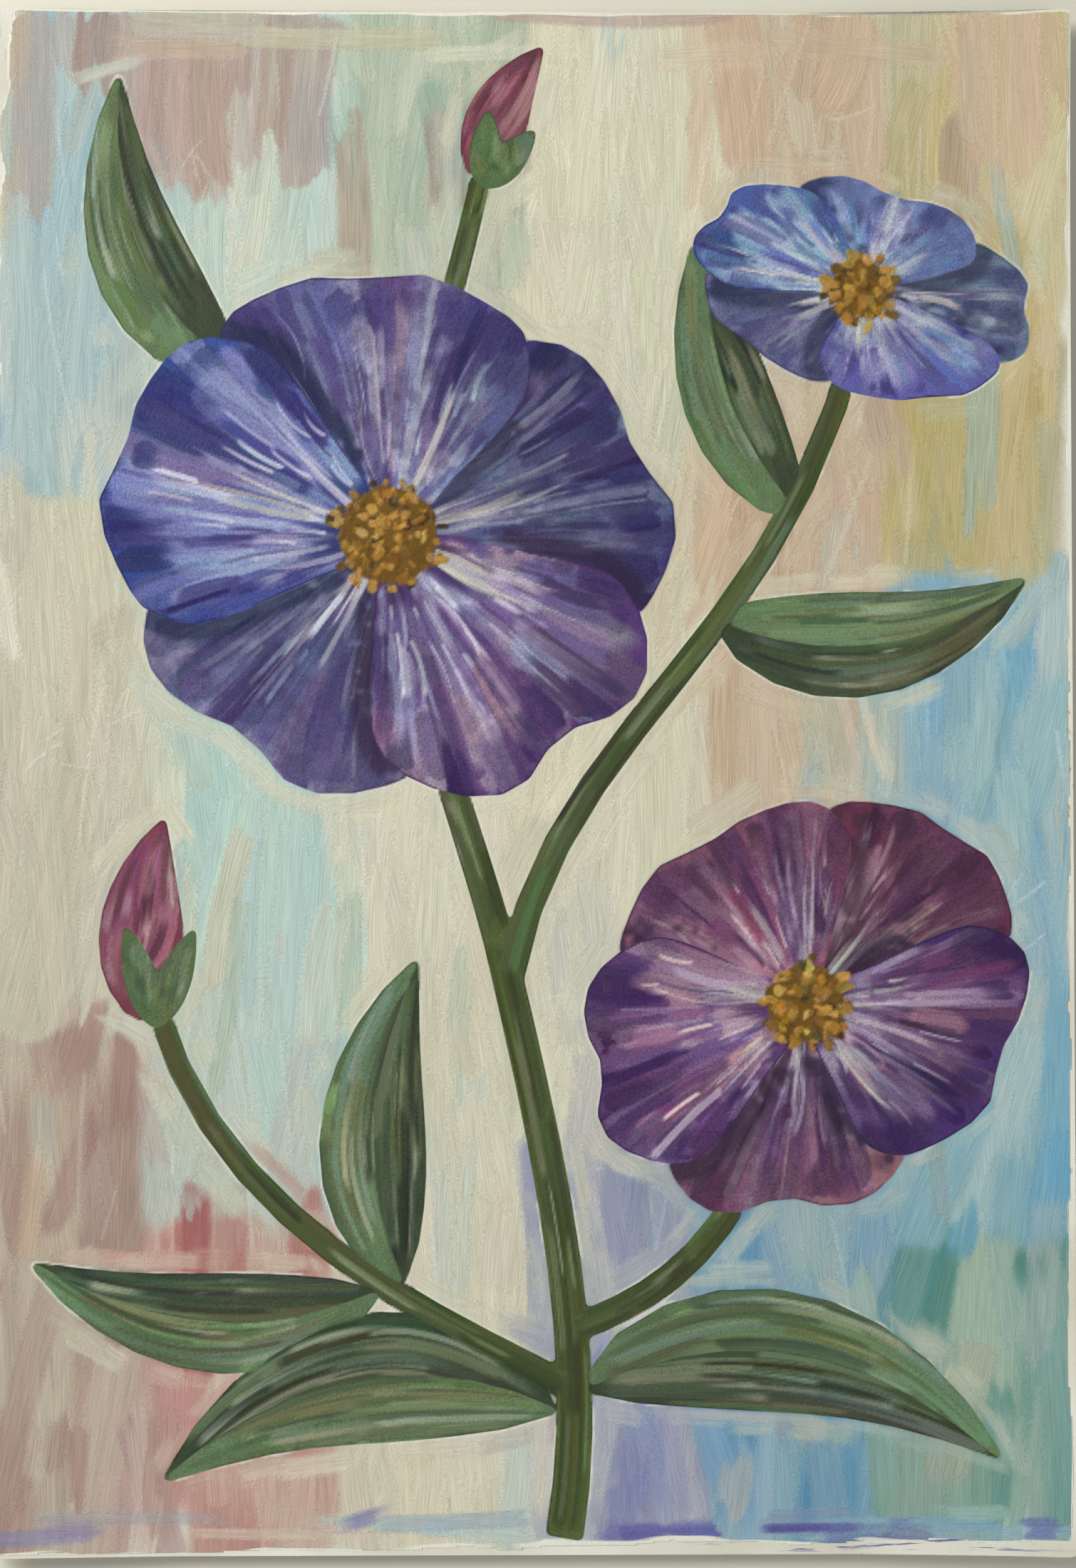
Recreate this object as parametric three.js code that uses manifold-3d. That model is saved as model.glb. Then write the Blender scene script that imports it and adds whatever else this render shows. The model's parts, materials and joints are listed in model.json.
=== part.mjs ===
// An unframed painting on a sheet of heavy paper, lying face up.
// Millimetres. +X is right and +Y up in the picture, +Z is out of it. The sheet rests on the flat middle
// of its back, and its edges curl up a little. The dried paint lies on it in coats: a base coat that leaves
// ragged margins, a patchwork of upright colour fields, then stems, leaves, buds and petals side by side,
// then streaks on the petals, and last the thick dabs in the middle of each blossom.
// Each coat is made flat, cut clear of its neighbours, and then bent with the sheet.
import * as THREE from "three";
import { mergeVertices } from "three/addons/utils/BufferGeometryUtils.js";
import Module from "manifold-3d";

const wasm = await Module();
wasm.setup();

// The sheet.
const SHEET_WIDTH = 297;
const SHEET_LENGTH = 420;
const PAPER_THICKNESS = 0.6;
const CORNER_RADIUS = 2.5;
const CORNER_STEPS = 3;

// The curl. Outside its flat middle the sheet rises towards each edge along a parabola, drawn as a few
// flat strips between folds.
const FLAT_HALF_WIDTH = 80;
const FLAT_HALF_LENGTH = 120;
const STRIPS = 4;
const RISE_LEFT = 2.5;
const RISE_RIGHT = 4;
const RISE_BOTTOM = 3;
const RISE_TOP = 2;

// The coats of paint, and the gaps that keep them apart.
const COAT_GAP = 0.04;
const SIDE_GAP = 0.3;
const BASE_COAT = 0.2;
const FIELD_COAT = 0.2;
const STEM_COAT = 0.35;
const LEAF_COAT = 0.3;
const PETAL_COAT = 0.4;
const STREAK_COAT = 0.25;
const CENTRE_COAT = 0.5;
const DAB_HEIGHT = CENTRE_COAT / 2;
const CUT_LEVEL = -1; // a cut reaches from below the paper
const CUT_HEIGHT = 10; // to above every coat
const BASE_LEVEL = PAPER_THICKNESS + COAT_GAP;
const FIELD_LEVEL = BASE_LEVEL + BASE_COAT + COAT_GAP;
const MOTIF_LEVEL = FIELD_LEVEL + FIELD_COAT + COAT_GAP;
const STREAK_LEVEL = MOTIF_LEVEL + PETAL_COAT + COAT_GAP;
const CENTRE_LEVEL = STREAK_LEVEL + STREAK_COAT + COAT_GAP;

// The bare margins: how far the base coat stops short of the bottom, right, top and left edges, from one
// end of the edge to the other, going round. Where bend is below 1, most of the change comes first.
const MARGINS = [
  { start: 1, end: 4.6, bend: 1.6 },
  { start: 2, end: 0.5, bend: 1 },
  { start: 0.5, end: 0.5, bend: 1 },
  { start: 7, end: 1, bend: 0.5 },
];
const RAGGED = 0.4; // of the margin's width
const RAGGED_PITCH = 2.3; // in radians a step
const MARGIN_STEP = 11;

// The colour fields stand in columns. Each field runs up to the height given, and the last to the top.
const FIELD_WANDER = 4;
const FIELD_WANDER_PITCH = 33;
const FIELD_WANDER_SHIFT = 2.1; // in radians from one border to the next
const FIELD_STEP = 15;
const TONGUE = 7;
const TONGUE_LEAST = 0.6; // of the longest, about which the tongues vary
const TONGUE_PITCH = 1.7; // in radians a tongue
const TONGUES = 3;
const BREAK_CLEARANCE = 1; // from a break to the nearest point on its column's borders
const FIELD_COLUMNS = [
  [
    { colour: 0xa5877d, top: -66 },
    { colour: 0xc8c3ac, top: 82 },
    { colour: 0x8fb6c6 },
  ],
  [{ colour: 0xaf6e69, top: -118 }, { colour: 0xafcdc8 }],
  [{ colour: 0xdbd4bc, top: 22 }, { colour: 0xa8b8a3 }],
  [{ colour: 0x7d86b4, top: -96 }, { colour: 0xdcd7bd }],
  [{ colour: 0x4687b4, top: -34 }, { colour: 0xcdaf91 }],
  [
    { colour: 0x5a8c82, top: -122 },
    { colour: 0x82afc3, top: 58 },
    { colour: 0xbeaa6e },
  ],
];

// The stems, each as the four control points of its curve and its half width at either end.
const STEM_STEPS = 10;
const STEMS = {
  stem_branches: [
    { path: [[10, -205], [18, -160], [8, -110], [-8, -44]], start: 4.6, end: 3.6 },
    { path: [[-8, -44], [-16, -14], [-30, 20], [-36, 60]], start: 3.6, end: 3 },
    { path: [[12, -150], [34, -142], [60, -130], [74, -70]], start: 3.2, end: 2.8 },
    { path: [[-5, -56], [8, 16], [72, 34], [92, 128]], start: 3.2, end: 2.4 },
    { path: [[12, -166], [-26, -146], [-84, -122], [-101, -62]], start: 3.2, end: 2.4 },
  ],
  stem_top: [{ path: [[-30, 100], [-22, 126], [-16, 150], [-12, 168]], start: 2.6, end: 2.2 }],
};

// The leaves, each from its foot by way of a control point to its tip.
const LEAF_STEPS = 9;
const BLADE_SKEW = 0.8; // below 1, so that a blade is widest below its middle
const BLADE_FULLNESS = 0.85; // below 1, so that it swells early
const BLADE_POINT = 0.05; // half width at either end
const LEAVES = [
  { foot: [8, -172], way: [-46, -146], tip: [-98, -190], half: 17 },
  { foot: [14, -166], way: [74, -138], tip: [128, -184], half: 16 },
  { foot: [-40, -140], way: [-88, -160], tip: [-134, -132], half: 13 },
  { foot: [-34, -138], way: [-52, -96], tip: [-30, -50], half: 14 },
  { foot: [50, 44], way: [96, 24], tip: [136, 54], half: 14 },
  { foot: [76, 70], way: [44, 104], tip: [50, 156], half: 12 },
  { foot: [-78, 110], way: [-118, 134], tip: [-112, 192], half: 13 },
];

// The buds, with the two sepals that hold each.
const BUDS = [
  { foot: [-101, -68], way: [-110, -42], tip: [-99, -12], half: 11 },
  { foot: [-12, 162], way: [-12, 182], tip: [4, 200], half: 8 },
];
const SEPAL_SHARE = 0.5; // of the bud's length
const SEPAL_HALF = 4;
const SEPAL_SPREAD = 0.34; // turn of each sepal away from the bud's axis

// The blossoms. Squash and tilt turn a round blossom into one seen aslant.
const PETALS = 5;
const PETAL_ORDER = [0, 3, 1, 4, 2]; // from the back one to the front one
const PETAL_ROOT = 0.12; // where it starts, as a share of its length
const PETAL_ROOT_WIDTH = 0.16;
const PETAL_WIDEST = 0.86; // share of its length
const PETAL_TAPER = 1.25;
const PETAL_SIDE_STEPS = 7;
const PETAL_TIP_STEPS = 13;
const SHOULDER_DROP = 0.34;
const NOTCH_DEPTH = 0.07;
const NOTCH_WIDTH = 0.18;
const NOTCH_NEARNESS = 6; // how closely the notch keeps to the rim
const RUFFLE = 0.022;
const RUFFLE_WAVES = 7; // in radians over half a rim
const RUFFLE_SHIFT = 9; // times the petal's turn, so that no two rims are alike
const RUFFLE_NEARNESS = 5;
const STREAKS_A_PETAL = 3;
const STREAK_SPREAD = 0.5; // of the petal's half width, between two streaks
const STREAK_ROOT_SPREAD = 0.6; // of the spread, at the root
const STREAK_HALF = 0.07; // of the petal's half width
const STREAK_LEAST = 0.35; // of that, at either end
const STREAK_SKEW = 1.6; // above 1, so that a streak is widest beyond its middle
const STREAK_START = 0.1;
const STREAK_END = 0.74;
const STREAK_STEPS = 4;
const HUB_SHARE = 0.17; // of a petal's length
const HUB_SIDES = 24;
const CENTRE_INSET = 1; // from the hub's rim to the centre's
const DABS = 11;
const DAB_HALF = 0.045; // of a petal's length
const DAB_INNER_RING = 0.62; // of the outer ring
const DAB_SIDES = 6;
const DAB_RINGS = 4;
const BLOSSOMS = {
  left: { centre: [-38, 66], length: 80, half: 43, turn: 0.35, squash: 0.9, tilt: -0.44 },
  right: { centre: [76, -62], length: 64, half: 35, turn: 0.9, squash: 0.84, tilt: 0.6 },
  top: { centre: [92, 134], length: 48, half: 26, turn: 0, squash: 0.6, tilt: -0.3 },
};

const COLOURS = {
  paper: 0xece9df,
  base: 0xd2ccb6,
  stem: 0x5f6e3c,
  leaf_dark: 0x48583e,
  leaf_light: 0x7c9a6a,
  bud: 0x9c4c62,
  sepal: 0x6b8a55,
  streak: 0xc9c4e0,
  centre: 0xc88a2a,
};
const PETAL_COLOURS = {
  left: [0x4b3f96, 0x7c78b9, 0x3a4e9c, 0xaea5cc, 0x6a3f86],
  right: [0x8c3c5c, 0xb46e84, 0x6a3f78, 0xbe828c, 0x503278],
  top: [0x96bed2, 0x7c8cc4, 0x5064aa, 0xb4b0dc, 0x6464b0],
};
const PAPER_ROUGHNESS = 0.9;
const PAINT_ROUGHNESS = 0.45;

// Points and outlines.

function toPoint([x, y]) {
  return new THREE.Vector2(x, y);
}

// The outline moved outwards, for a cut that leaves a gap.
function grown(outline, distance) {
  const outward = THREE.ShapeUtils.isClockWise(outline) ? -distance : distance;
  return outline.map((point, i) => {
    const before = outline.at(i - 1);
    const after = outline[(i + 1) % outline.length];
    const along = after.clone().sub(before).normalize();
    return new THREE.Vector2(point.x + along.y * outward, point.y - along.x * outward);
  });
}

// A band round a curve. halfAt gives its half width at 0 to 1 along it, to its left and to its right.
function bandOutline(curve, steps, halfAt, sides = [-1, 1]) {
  const edge = (side) =>
    Array.from({ length: steps + 1 }, (_, i) => {
      const t = i / steps;
      const along = curve.getTangent(t);
      const reach = side * halfAt(t);
      return curve.getPoint(t).add(new THREE.Vector2(-along.y * reach, along.x * reach));
    });
  return [...edge(sides[0]), ...edge(sides[1]).reverse()];
}

function discOutline(centre, radius, sides) {
  return Array.from({ length: sides }, (_, i) => {
    const angle = (i / sides) * 2 * Math.PI;
    return centre.clone().add(new THREE.Vector2(radius * Math.cos(angle), radius * Math.sin(angle)));
  });
}

function sheetOutline() {
  const shape = new THREE.Shape();
  const inX = SHEET_WIDTH / 2 - CORNER_RADIUS;
  const inY = SHEET_LENGTH / 2 - CORNER_RADIUS;
  const quarter = Math.PI / 2;
  shape.absarc(inX, -inY, CORNER_RADIUS, -quarter, 0);
  shape.absarc(inX, inY, CORNER_RADIUS, 0, quarter);
  shape.absarc(-inX, inY, CORNER_RADIUS, quarter, 2 * quarter);
  shape.absarc(-inX, -inY, CORNER_RADIUS, 2 * quarter, 3 * quarter);
  return shape.getPoints(CORNER_STEPS);
}

// The base coat's edge, going round the sheet from its bottom left corner.
function baseOutline(inset) {
  const halfX = SHEET_WIDTH / 2;
  const halfY = SHEET_LENGTH / 2;
  const corners = [[-halfX, -halfY], [halfX, -halfY], [halfX, halfY], [-halfX, halfY]].map(toPoint);
  return MARGINS.flatMap((margin, side) => {
    const from = corners[side];
    const to = corners[(side + 1) % corners.length];
    const steps = Math.round(from.distanceTo(to) / MARGIN_STEP);
    const along = to.clone().sub(from).normalize();
    const inward = new THREE.Vector2(-along.y, along.x);
    const start = from.clone().addScaledVector(along, MARGINS.at(side - 1).end + inset);
    const ragged = (i) => 1 + RAGGED * Math.sin((i + side) * RAGGED_PITCH) * Math.cos(i * i);
    return Array.from({ length: steps }, (_, i) => {
      const bare = THREE.MathUtils.lerp(margin.start, margin.end, (i / steps) ** margin.bend);
      return start.clone().lerp(to, i / steps).addScaledVector(inward, bare * ragged(i) + inset);
    });
  });
}

// The border on the left of a column of fields, as straight lines between heights FIELD_STEP apart.
function fieldBorder(column, y) {
  const wave = (height) => FIELD_WANDER * Math.sin(height / FIELD_WANDER_PITCH + column * FIELD_WANDER_SHIFT);
  const low = Math.floor(y / FIELD_STEP) * FIELD_STEP;
  const bend = THREE.MathUtils.lerp(wave(low), wave(low + FIELD_STEP), (y - low) / FIELD_STEP);
  return (column / FIELD_COLUMNS.length - 0.5) * SHEET_WIDTH + bend;
}

// The brush's tongues across a column where one field gives way to the next above it.
function fieldBreak(column, height) {
  const steps = 2 * TONGUES;
  return Array.from({ length: steps + 1 }, (_, i) => {
    const length = TONGUE * THREE.MathUtils.lerp(TONGUE_LEAST, 1, Math.sin(i * TONGUE_PITCH + height));
    const y = height + (i % 2 ? length : -length);
    const x = THREE.MathUtils.lerp(fieldBorder(column, y), fieldBorder(column + 1, y), i / steps);
    return new THREE.Vector2(x, y);
  });
}

// The points of a column's border at the heights between two of its breaks.
function borderPoints(column, low, high, shift) {
  const points = [];
  const first = Math.ceil((low + BREAK_CLEARANCE) / FIELD_STEP) * FIELD_STEP;
  for (let y = first; y < high - BREAK_CLEARANCE; y += FIELD_STEP)
    points.push(new THREE.Vector2(fieldBorder(column, y) + shift, y));
  return points;
}

function fieldOutline(column, bottom, top) {
  const half = SIDE_GAP / 2;
  const inColumn = (up) => (point, i, list) =>
    new THREE.Vector2(point.x + half * (i === 0) - half * (i === list.length - 1), point.y + up);
  const low = fieldBreak(column, bottom).map(inColumn(half));
  const high = fieldBreak(column, top).map(inColumn(-half));
  return [
    ...low,
    ...borderPoints(column + 1, low.at(-1).y, high.at(-1).y, -half),
    ...high.reverse(),
    ...borderPoints(column, low[0].y, high.at(-1).y, half).reverse(),
  ];
}

function stemOutline({ path, start, end }) {
  const curve = new THREE.CubicBezierCurve(...path.map(toPoint));
  return bandOutline(curve, STEM_STEPS, (t) => THREE.MathUtils.lerp(start, end, t));
}

// A pointed blade, widest below its middle. sides picks the whole blade or the half on one side of its rib.
function bladeOutline({ foot, way, tip, half }, sides = [-1, 1]) {
  const curve = new THREE.QuadraticBezierCurve(toPoint(foot), toPoint(way), toPoint(tip));
  const swell = (t) => half * Math.sin(Math.PI * t ** BLADE_SKEW) ** BLADE_FULLNESS + BLADE_POINT;
  return bandOutline(curve, LEAF_STEPS, swell, sides);
}

function halfBladeOutline(leaf, side) {
  const rib = SIDE_GAP / 2 / leaf.half;
  return bladeOutline(leaf, [side, side * rib]);
}

// A sepal lies along the lower part of one side of its bud.
function sepalOutline({ foot, tip }, side) {
  const base = toPoint(foot);
  const reach = toPoint(tip).sub(base).multiplyScalar(SEPAL_SHARE);
  const end = base.clone().add(reach.rotateAround(new THREE.Vector2(), side * SEPAL_SPREAD));
  const way = base.clone().lerp(end, 0.5);
  return bladeOutline({ foot: base.toArray(), way: way.toArray(), tip: end.toArray(), half: SEPAL_HALF });
}

// A point on a petal: t from 0 at the blossom's middle to 1 at the rim, v from -1 to 1 across.
function petalPoint(blossom, index, t, v) {
  const turn = blossom.turn + (index / PETALS) * 2 * Math.PI;
  const shoulder = 1 - SHOULDER_DROP * (1 - Math.cos((v * Math.PI) / 2)) * t;
  const notch = NOTCH_DEPTH * Math.exp(-((v / NOTCH_WIDTH) ** 2)) * t ** NOTCH_NEARNESS;
  const ruffle = RUFFLE * Math.sin(RUFFLE_WAVES * v + RUFFLE_SHIFT * turn) * t ** RUFFLE_NEARNESS;
  const along = blossom.length * (t * shoulder - notch + ruffle);
  const open = Math.sin((Math.min(1, t / PETAL_WIDEST) * Math.PI) / 2) ** PETAL_TAPER;
  const width = blossom.half * (PETAL_ROOT_WIDTH + (1 - PETAL_ROOT_WIDTH) * open);
  const point = new THREE.Vector2(along, width * Math.sin((v * Math.PI) / 2));
  const still = new THREE.Vector2();
  point.rotateAround(still, turn - blossom.tilt);
  point.y *= blossom.squash;
  return point.rotateAround(still, blossom.tilt).add(toPoint(blossom.centre));
}

function petalOutline(blossom, index) {
  const side = (v) =>
    Array.from({ length: PETAL_SIDE_STEPS }, (_, i) =>
      petalPoint(blossom, index, THREE.MathUtils.lerp(PETAL_ROOT, 1, i / PETAL_SIDE_STEPS), v),
    );
  const rim = Array.from({ length: PETAL_TIP_STEPS + 1 }, (_, i) =>
    petalPoint(blossom, index, 1, (2 * i) / PETAL_TIP_STEPS - 1),
  );
  return [...side(-1), ...rim, ...side(1).reverse()];
}

function streakOutline(blossom, index, v) {
  const edge = (side) =>
    Array.from({ length: STREAK_STEPS + 1 }, (_, i) => {
      const share = i / STREAK_STEPS;
      const t = THREE.MathUtils.lerp(STREAK_START, STREAK_END, share);
      const half = STREAK_HALF * (STREAK_LEAST + Math.sin(Math.PI * share ** STREAK_SKEW));
      const middle = v * THREE.MathUtils.lerp(STREAK_ROOT_SPREAD, 1, share);
      return petalPoint(blossom, index, t, middle + side * half);
    });
  return [...edge(-1), ...edge(1).reverse()];
}

// Solids.

function solidOf(geometry) {
  geometry.deleteAttribute("normal");
  geometry.deleteAttribute("uv");
  const merged = mergeVertices(geometry);
  return new wasm.Manifold(
    new wasm.Mesh({
      numProp: 3,
      vertProperties: merged.attributes.position.array,
      triVerts: new Uint32Array(merged.index.array),
    }),
  );
}

// A flat slab over an outline, from a level up by a thickness.
function slab(outline, level, thickness) {
  const shape = new THREE.Shape(outline);
  const geometry = new THREE.ExtrudeGeometry(shape, { depth: thickness, bevelEnabled: false });
  geometry.translate(0, 0, level);
  return solidOf(geometry);
}

// The space that an outline and its gap take from whatever lies beside it.
function cutter(outline) {
  return slab(grown(outline, SIDE_GAP), CUT_LEVEL, CUT_HEIGHT);
}

function joined(solids) {
  return solids.reduce((all, solid) => all.add(solid));
}

function without(solid, cutters) {
  return cutters.reduce((rest, cut) => rest.subtract(cut), solid);
}

// A cut can leave scraps beside the main body. They are dropped.
function largestBody(solid) {
  return solid.decompose().reduce((best, body) => (body.volume() > best.volume() ? body : best));
}

// A low dome of paint, sunk into what it stands on.
function dab(centre, half, level, height) {
  const geometry = new THREE.SphereGeometry(1, DAB_SIDES, DAB_RINGS);
  geometry.rotateX(Math.PI / 2);
  geometry.scale(half, half, height);
  geometry.translate(centre.x, centre.y, level);
  return solidOf(geometry);
}

// The bend.

// How far the sheet has risen at a distance out from its middle line.
function rise(distance, flat, half, edgeRise) {
  const strip = (half - flat) / STRIPS;
  const out = Math.max(0, distance - flat) / strip;
  const fold = Math.min(STRIPS - 1, Math.floor(out));
  const heightAt = (folds) => edgeRise * (folds / STRIPS) ** 2;
  return THREE.MathUtils.lerp(heightAt(fold), heightAt(fold + 1), out - fold);
}

function curlAt(x, y) {
  const riseX = rise(Math.abs(x), FLAT_HALF_WIDTH, SHEET_WIDTH / 2, x < 0 ? RISE_LEFT : RISE_RIGHT);
  const riseY = rise(Math.abs(y), FLAT_HALF_LENGTH, SHEET_LENGTH / 2, y < 0 ? RISE_BOTTOM : RISE_TOP);
  return riseX + riseY;
}

// Where the folds lie along an axis, on both sides of the middle.
function foldsBetween(axis, flat, half) {
  const folds = Array.from({ length: STRIPS }, (_, i) => flat + (i / STRIPS) * (half - flat));
  return [...folds, ...folds.map((fold) => -fold)].map((fold) => ({ axis, fold }));
}

const FOLDS = [
  ...foldsBetween(0, FLAT_HALF_WIDTH, SHEET_WIDTH / 2),
  ...foldsBetween(1, FLAT_HALF_LENGTH, SHEET_LENGTH / 2),
];

// The flat panels that the folds cut a solid into.
function panelsOf(solid) {
  return FOLDS.reduce((panels, { axis, fold }) => {
    const across = [0, 0, 0];
    across[axis] = 1;
    return panels.flatMap((panel) => panel.splitByPlane(across, fold)).filter((panel) => !panel.isEmpty());
  }, [solid]);
}

// A panel raised to its place on the sheet.
function raised(panel) {
  const { numProp, vertProperties, triVerts } = panel.getMesh();
  for (let i = 0; i < vertProperties.length; i += numProp)
    vertProperties[i + 2] += curlAt(vertProperties[i], vertProperties[i + 1]);
  return new wasm.Manifold(new wasm.Mesh({ numProp, vertProperties, triVerts }));
}

// The surface of a flat solid that is bent with the sheet.
function bentGeometry(solid) {
  const { vertProperties, triVerts } = joined(panelsOf(solid).map(raised)).getMesh();
  const geometry = new THREE.BufferGeometry();
  geometry.setAttribute("position", new THREE.BufferAttribute(vertProperties, 3));
  geometry.setIndex(new THREE.BufferAttribute(triVerts, 1));
  geometry.computeVertexNormals();
  return geometry;
}

// The painting, in nested groups.

const painting = new THREE.Group();
painting.name = "painting";

function makeGroup(name) {
  const group = new THREE.Group();
  group.name = name;
  painting.add(group);
  return group;
}

function addPiece(group, name, solid, colour, roughness = PAINT_ROUGHNESS) {
  const material = new THREE.MeshStandardMaterial({ color: colour, roughness, metalness: 0 });
  const mesh = new THREE.Mesh(bentGeometry(solid), material);
  mesh.name = name;
  group.add(mesh);
}

function addSheet() {
  const sheet = makeGroup("sheet");
  addPiece(sheet, "paper_sheet", slab(sheetOutline(), 0, PAPER_THICKNESS), COLOURS.paper, PAPER_ROUGHNESS);
}

function addBackground() {
  const background = makeGroup("background");
  addPiece(background, "base_coat", slab(baseOutline(0), BASE_LEVEL, BASE_COAT), COLOURS.base);
  const painted = slab(baseOutline(SIDE_GAP), CUT_LEVEL, CUT_HEIGHT);
  FIELD_COLUMNS.forEach((fields, column) => {
    let bottom = -SHEET_LENGTH;
    fields.forEach(({ colour, top = SHEET_LENGTH }, row) => {
      const field = slab(fieldOutline(column, bottom, top), FIELD_LEVEL, FIELD_COAT);
      const name = `field_${column + 1}_${row + 1}`;
      addPiece(background, name, largestBody(field.intersect(painted)), colour);
      bottom = top;
    });
  });
}

// Every petal's outline, from the back one to the front one of its blossom.
function petalsOf(blossom) {
  return PETAL_ORDER.map((index) => ({ index, outline: petalOutline(blossom, index) }));
}

function addBlossom(name, blossom) {
  const group = makeGroup(`blossom_${name}`);
  const petals = petalsOf(blossom);
  petals.forEach(({ index, outline }, depth) => {
    const inFront = petals.slice(depth + 1).map((petal) => cutter(petal.outline));
    const petal = largestBody(without(slab(outline, MOTIF_LEVEL, PETAL_COAT), inFront));
    addPiece(group, `petal_${name}_${index + 1}`, petal, PETAL_COLOURS[name][index]);
  });

  const centre = toPoint(blossom.centre);
  const hub = discOutline(centre, blossom.length * HUB_SHARE, HUB_SIDES);
  const streaks = petals.map(({ index }, depth) => {
    const inFront = petals.slice(depth + 1).map((petal) => cutter(petal.outline));
    const spread = (i) => (i - (STREAKS_A_PETAL - 1) / 2) * STREAK_SPREAD;
    const slabs = Array.from({ length: STREAKS_A_PETAL }, (_, i) =>
      slab(streakOutline(blossom, index, spread(i)), STREAK_LEVEL, STREAK_COAT),
    );
    return without(joined(slabs), inFront);
  });
  const star = joined([slab(hub, STREAK_LEVEL, STREAK_COAT), ...streaks]);
  addPiece(group, `streaks_${name}`, largestBody(star), COLOURS.streak);

  const dabs = Array.from({ length: DABS }, (_, i) => {
    const angle = (i / DABS) * 2 * Math.PI;
    const ring = blossom.length * (HUB_SHARE - DAB_HALF) * (i % 2 ? 1 : DAB_INNER_RING);
    const place = centre.clone().add(new THREE.Vector2(ring * Math.cos(angle), ring * Math.sin(angle)));
    return dab(place, blossom.length * DAB_HALF, CENTRE_LEVEL + CENTRE_COAT, DAB_HEIGHT);
  });
  const disc = slab(grown(hub, -CENTRE_INSET), CENTRE_LEVEL, CENTRE_COAT);
  addPiece(group, `centre_${name}`, joined([disc, ...dabs]), COLOURS.centre);
}

function addGreenery() {
  const group = makeGroup("greenery");
  const blossoms = Object.values(BLOSSOMS)
    .flatMap(petalsOf)
    .map((petal) => cutter(petal.outline));
  const budCutters = [];

  BUDS.forEach((bud, i) => {
    const outline = bladeOutline(bud);
    const sepals = [-1, 1].map((side) => sepalOutline(bud, side));
    const held = sepals.map(cutter);
    const bulb = largestBody(without(slab(outline, MOTIF_LEVEL, PETAL_COAT), held));
    addPiece(group, `bud_${i + 1}`, bulb, COLOURS.bud);
    const cup = joined(sepals.map((sepal) => slab(sepal, MOTIF_LEVEL, LEAF_COAT)));
    addPiece(group, `bud_${i + 1}_sepals`, largestBody(cup), COLOURS.sepal);
    budCutters.push(cutter(outline), ...held);
  });

  const stemCutters = [];
  for (const [name, stems] of Object.entries(STEMS)) {
    const outlines = stems.map(stemOutline);
    const wood = joined(outlines.map((outline) => slab(outline, MOTIF_LEVEL, STEM_COAT)));
    addPiece(group, name, largestBody(without(wood, [...blossoms, ...budCutters])), COLOURS.stem);
    stemCutters.push(...outlines.map(cutter));
  }

  const inFront = [...blossoms, ...budCutters, ...stemCutters];
  LEAVES.forEach((leaf, i) => {
    for (const [side, shade] of [[-1, "dark"], [1, "light"]]) {
      const blade = without(slab(halfBladeOutline(leaf, side), MOTIF_LEVEL, LEAF_COAT), inFront);
      addPiece(group, `leaf_${i + 1}_${shade}`, largestBody(blade), COLOURS[`leaf_${shade}`]);
    }
    inFront.push(cutter(bladeOutline(leaf)));
  });
}

addSheet();
addBackground();
addGreenery();
for (const [name, blossom] of Object.entries(BLOSSOMS)) addBlossom(name, blossom);

export default painting;
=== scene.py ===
"""An unframed painting on a sheet of heavy paper, lying face up.

The picture is painted stroke by stroke on a fine grid that holds the paint's height and colours.
Each coat of paint then becomes a closed body of its own on the curled sheet, cut to the outline of
its solid in the frame.
"""

import json
import math

import bpy
import numpy as np
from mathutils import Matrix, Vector
from mathutils.geometry import delaunay_2d_cdt


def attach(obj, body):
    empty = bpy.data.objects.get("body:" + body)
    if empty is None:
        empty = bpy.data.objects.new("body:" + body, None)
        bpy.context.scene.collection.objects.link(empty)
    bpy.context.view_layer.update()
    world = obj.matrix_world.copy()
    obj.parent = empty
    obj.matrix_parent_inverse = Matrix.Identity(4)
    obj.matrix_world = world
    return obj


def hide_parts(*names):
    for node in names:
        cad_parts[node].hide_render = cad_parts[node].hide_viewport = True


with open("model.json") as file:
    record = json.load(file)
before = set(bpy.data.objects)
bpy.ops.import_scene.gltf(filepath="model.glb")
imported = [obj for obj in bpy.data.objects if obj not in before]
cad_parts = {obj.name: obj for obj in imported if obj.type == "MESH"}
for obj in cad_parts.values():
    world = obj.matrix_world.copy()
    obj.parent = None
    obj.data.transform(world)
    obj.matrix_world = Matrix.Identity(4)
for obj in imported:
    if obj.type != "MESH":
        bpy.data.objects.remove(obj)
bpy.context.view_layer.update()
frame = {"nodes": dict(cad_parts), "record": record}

# The sheet, in millimetres, as in the part's source.
SHEET_WIDTH = 297.0
SHEET_LENGTH = 420.0
PAPER_THICKNESS = 0.6
CORNER_RADIUS = 2.5
FLAT_HALF_WIDTH = 80.0
FLAT_HALF_LENGTH = 120.0
RISE_LEFT = 2.5
RISE_RIGHT = 4.0
RISE_BOTTOM = 3.0
RISE_TOP = 2.0

# How high each kind of coat lies, by the first word of its node's name. All other nodes are the
# motif's.
LEVELS = {"base": 0, "field": 1, "streaks": 3, "centre": 4}
MOTIF_LEVEL = 2
TOP_LEVEL = 4

# How finely the paint and the paper are modelled, in millimetres. The paint is painted on a grid of
# points. A coat's underside lies so far down in the paper, and its top stands so far above it at
# least. The sheet has points of its own in its middle part and along its edge.
GRID = 0.5
EDGE_BLUR = 1.0
LEAST_SOFT = 0.5
SUNK = 0.05
LEAST_COAT = 0.02
UNDERSIDE_PITCH = 12.0
SHEET_PITCH = 5.0
SHEET_INNER_HALF = (145, 206)
EDGE_PITCH = 1.5
CUT_ROUGHNESS = 0.06
CORNER_STEPS = 4
# How many times finer than the grid the motif's outlines are read.
FINE = 4
# A millimetre in metres.
MM = 0.001

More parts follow.
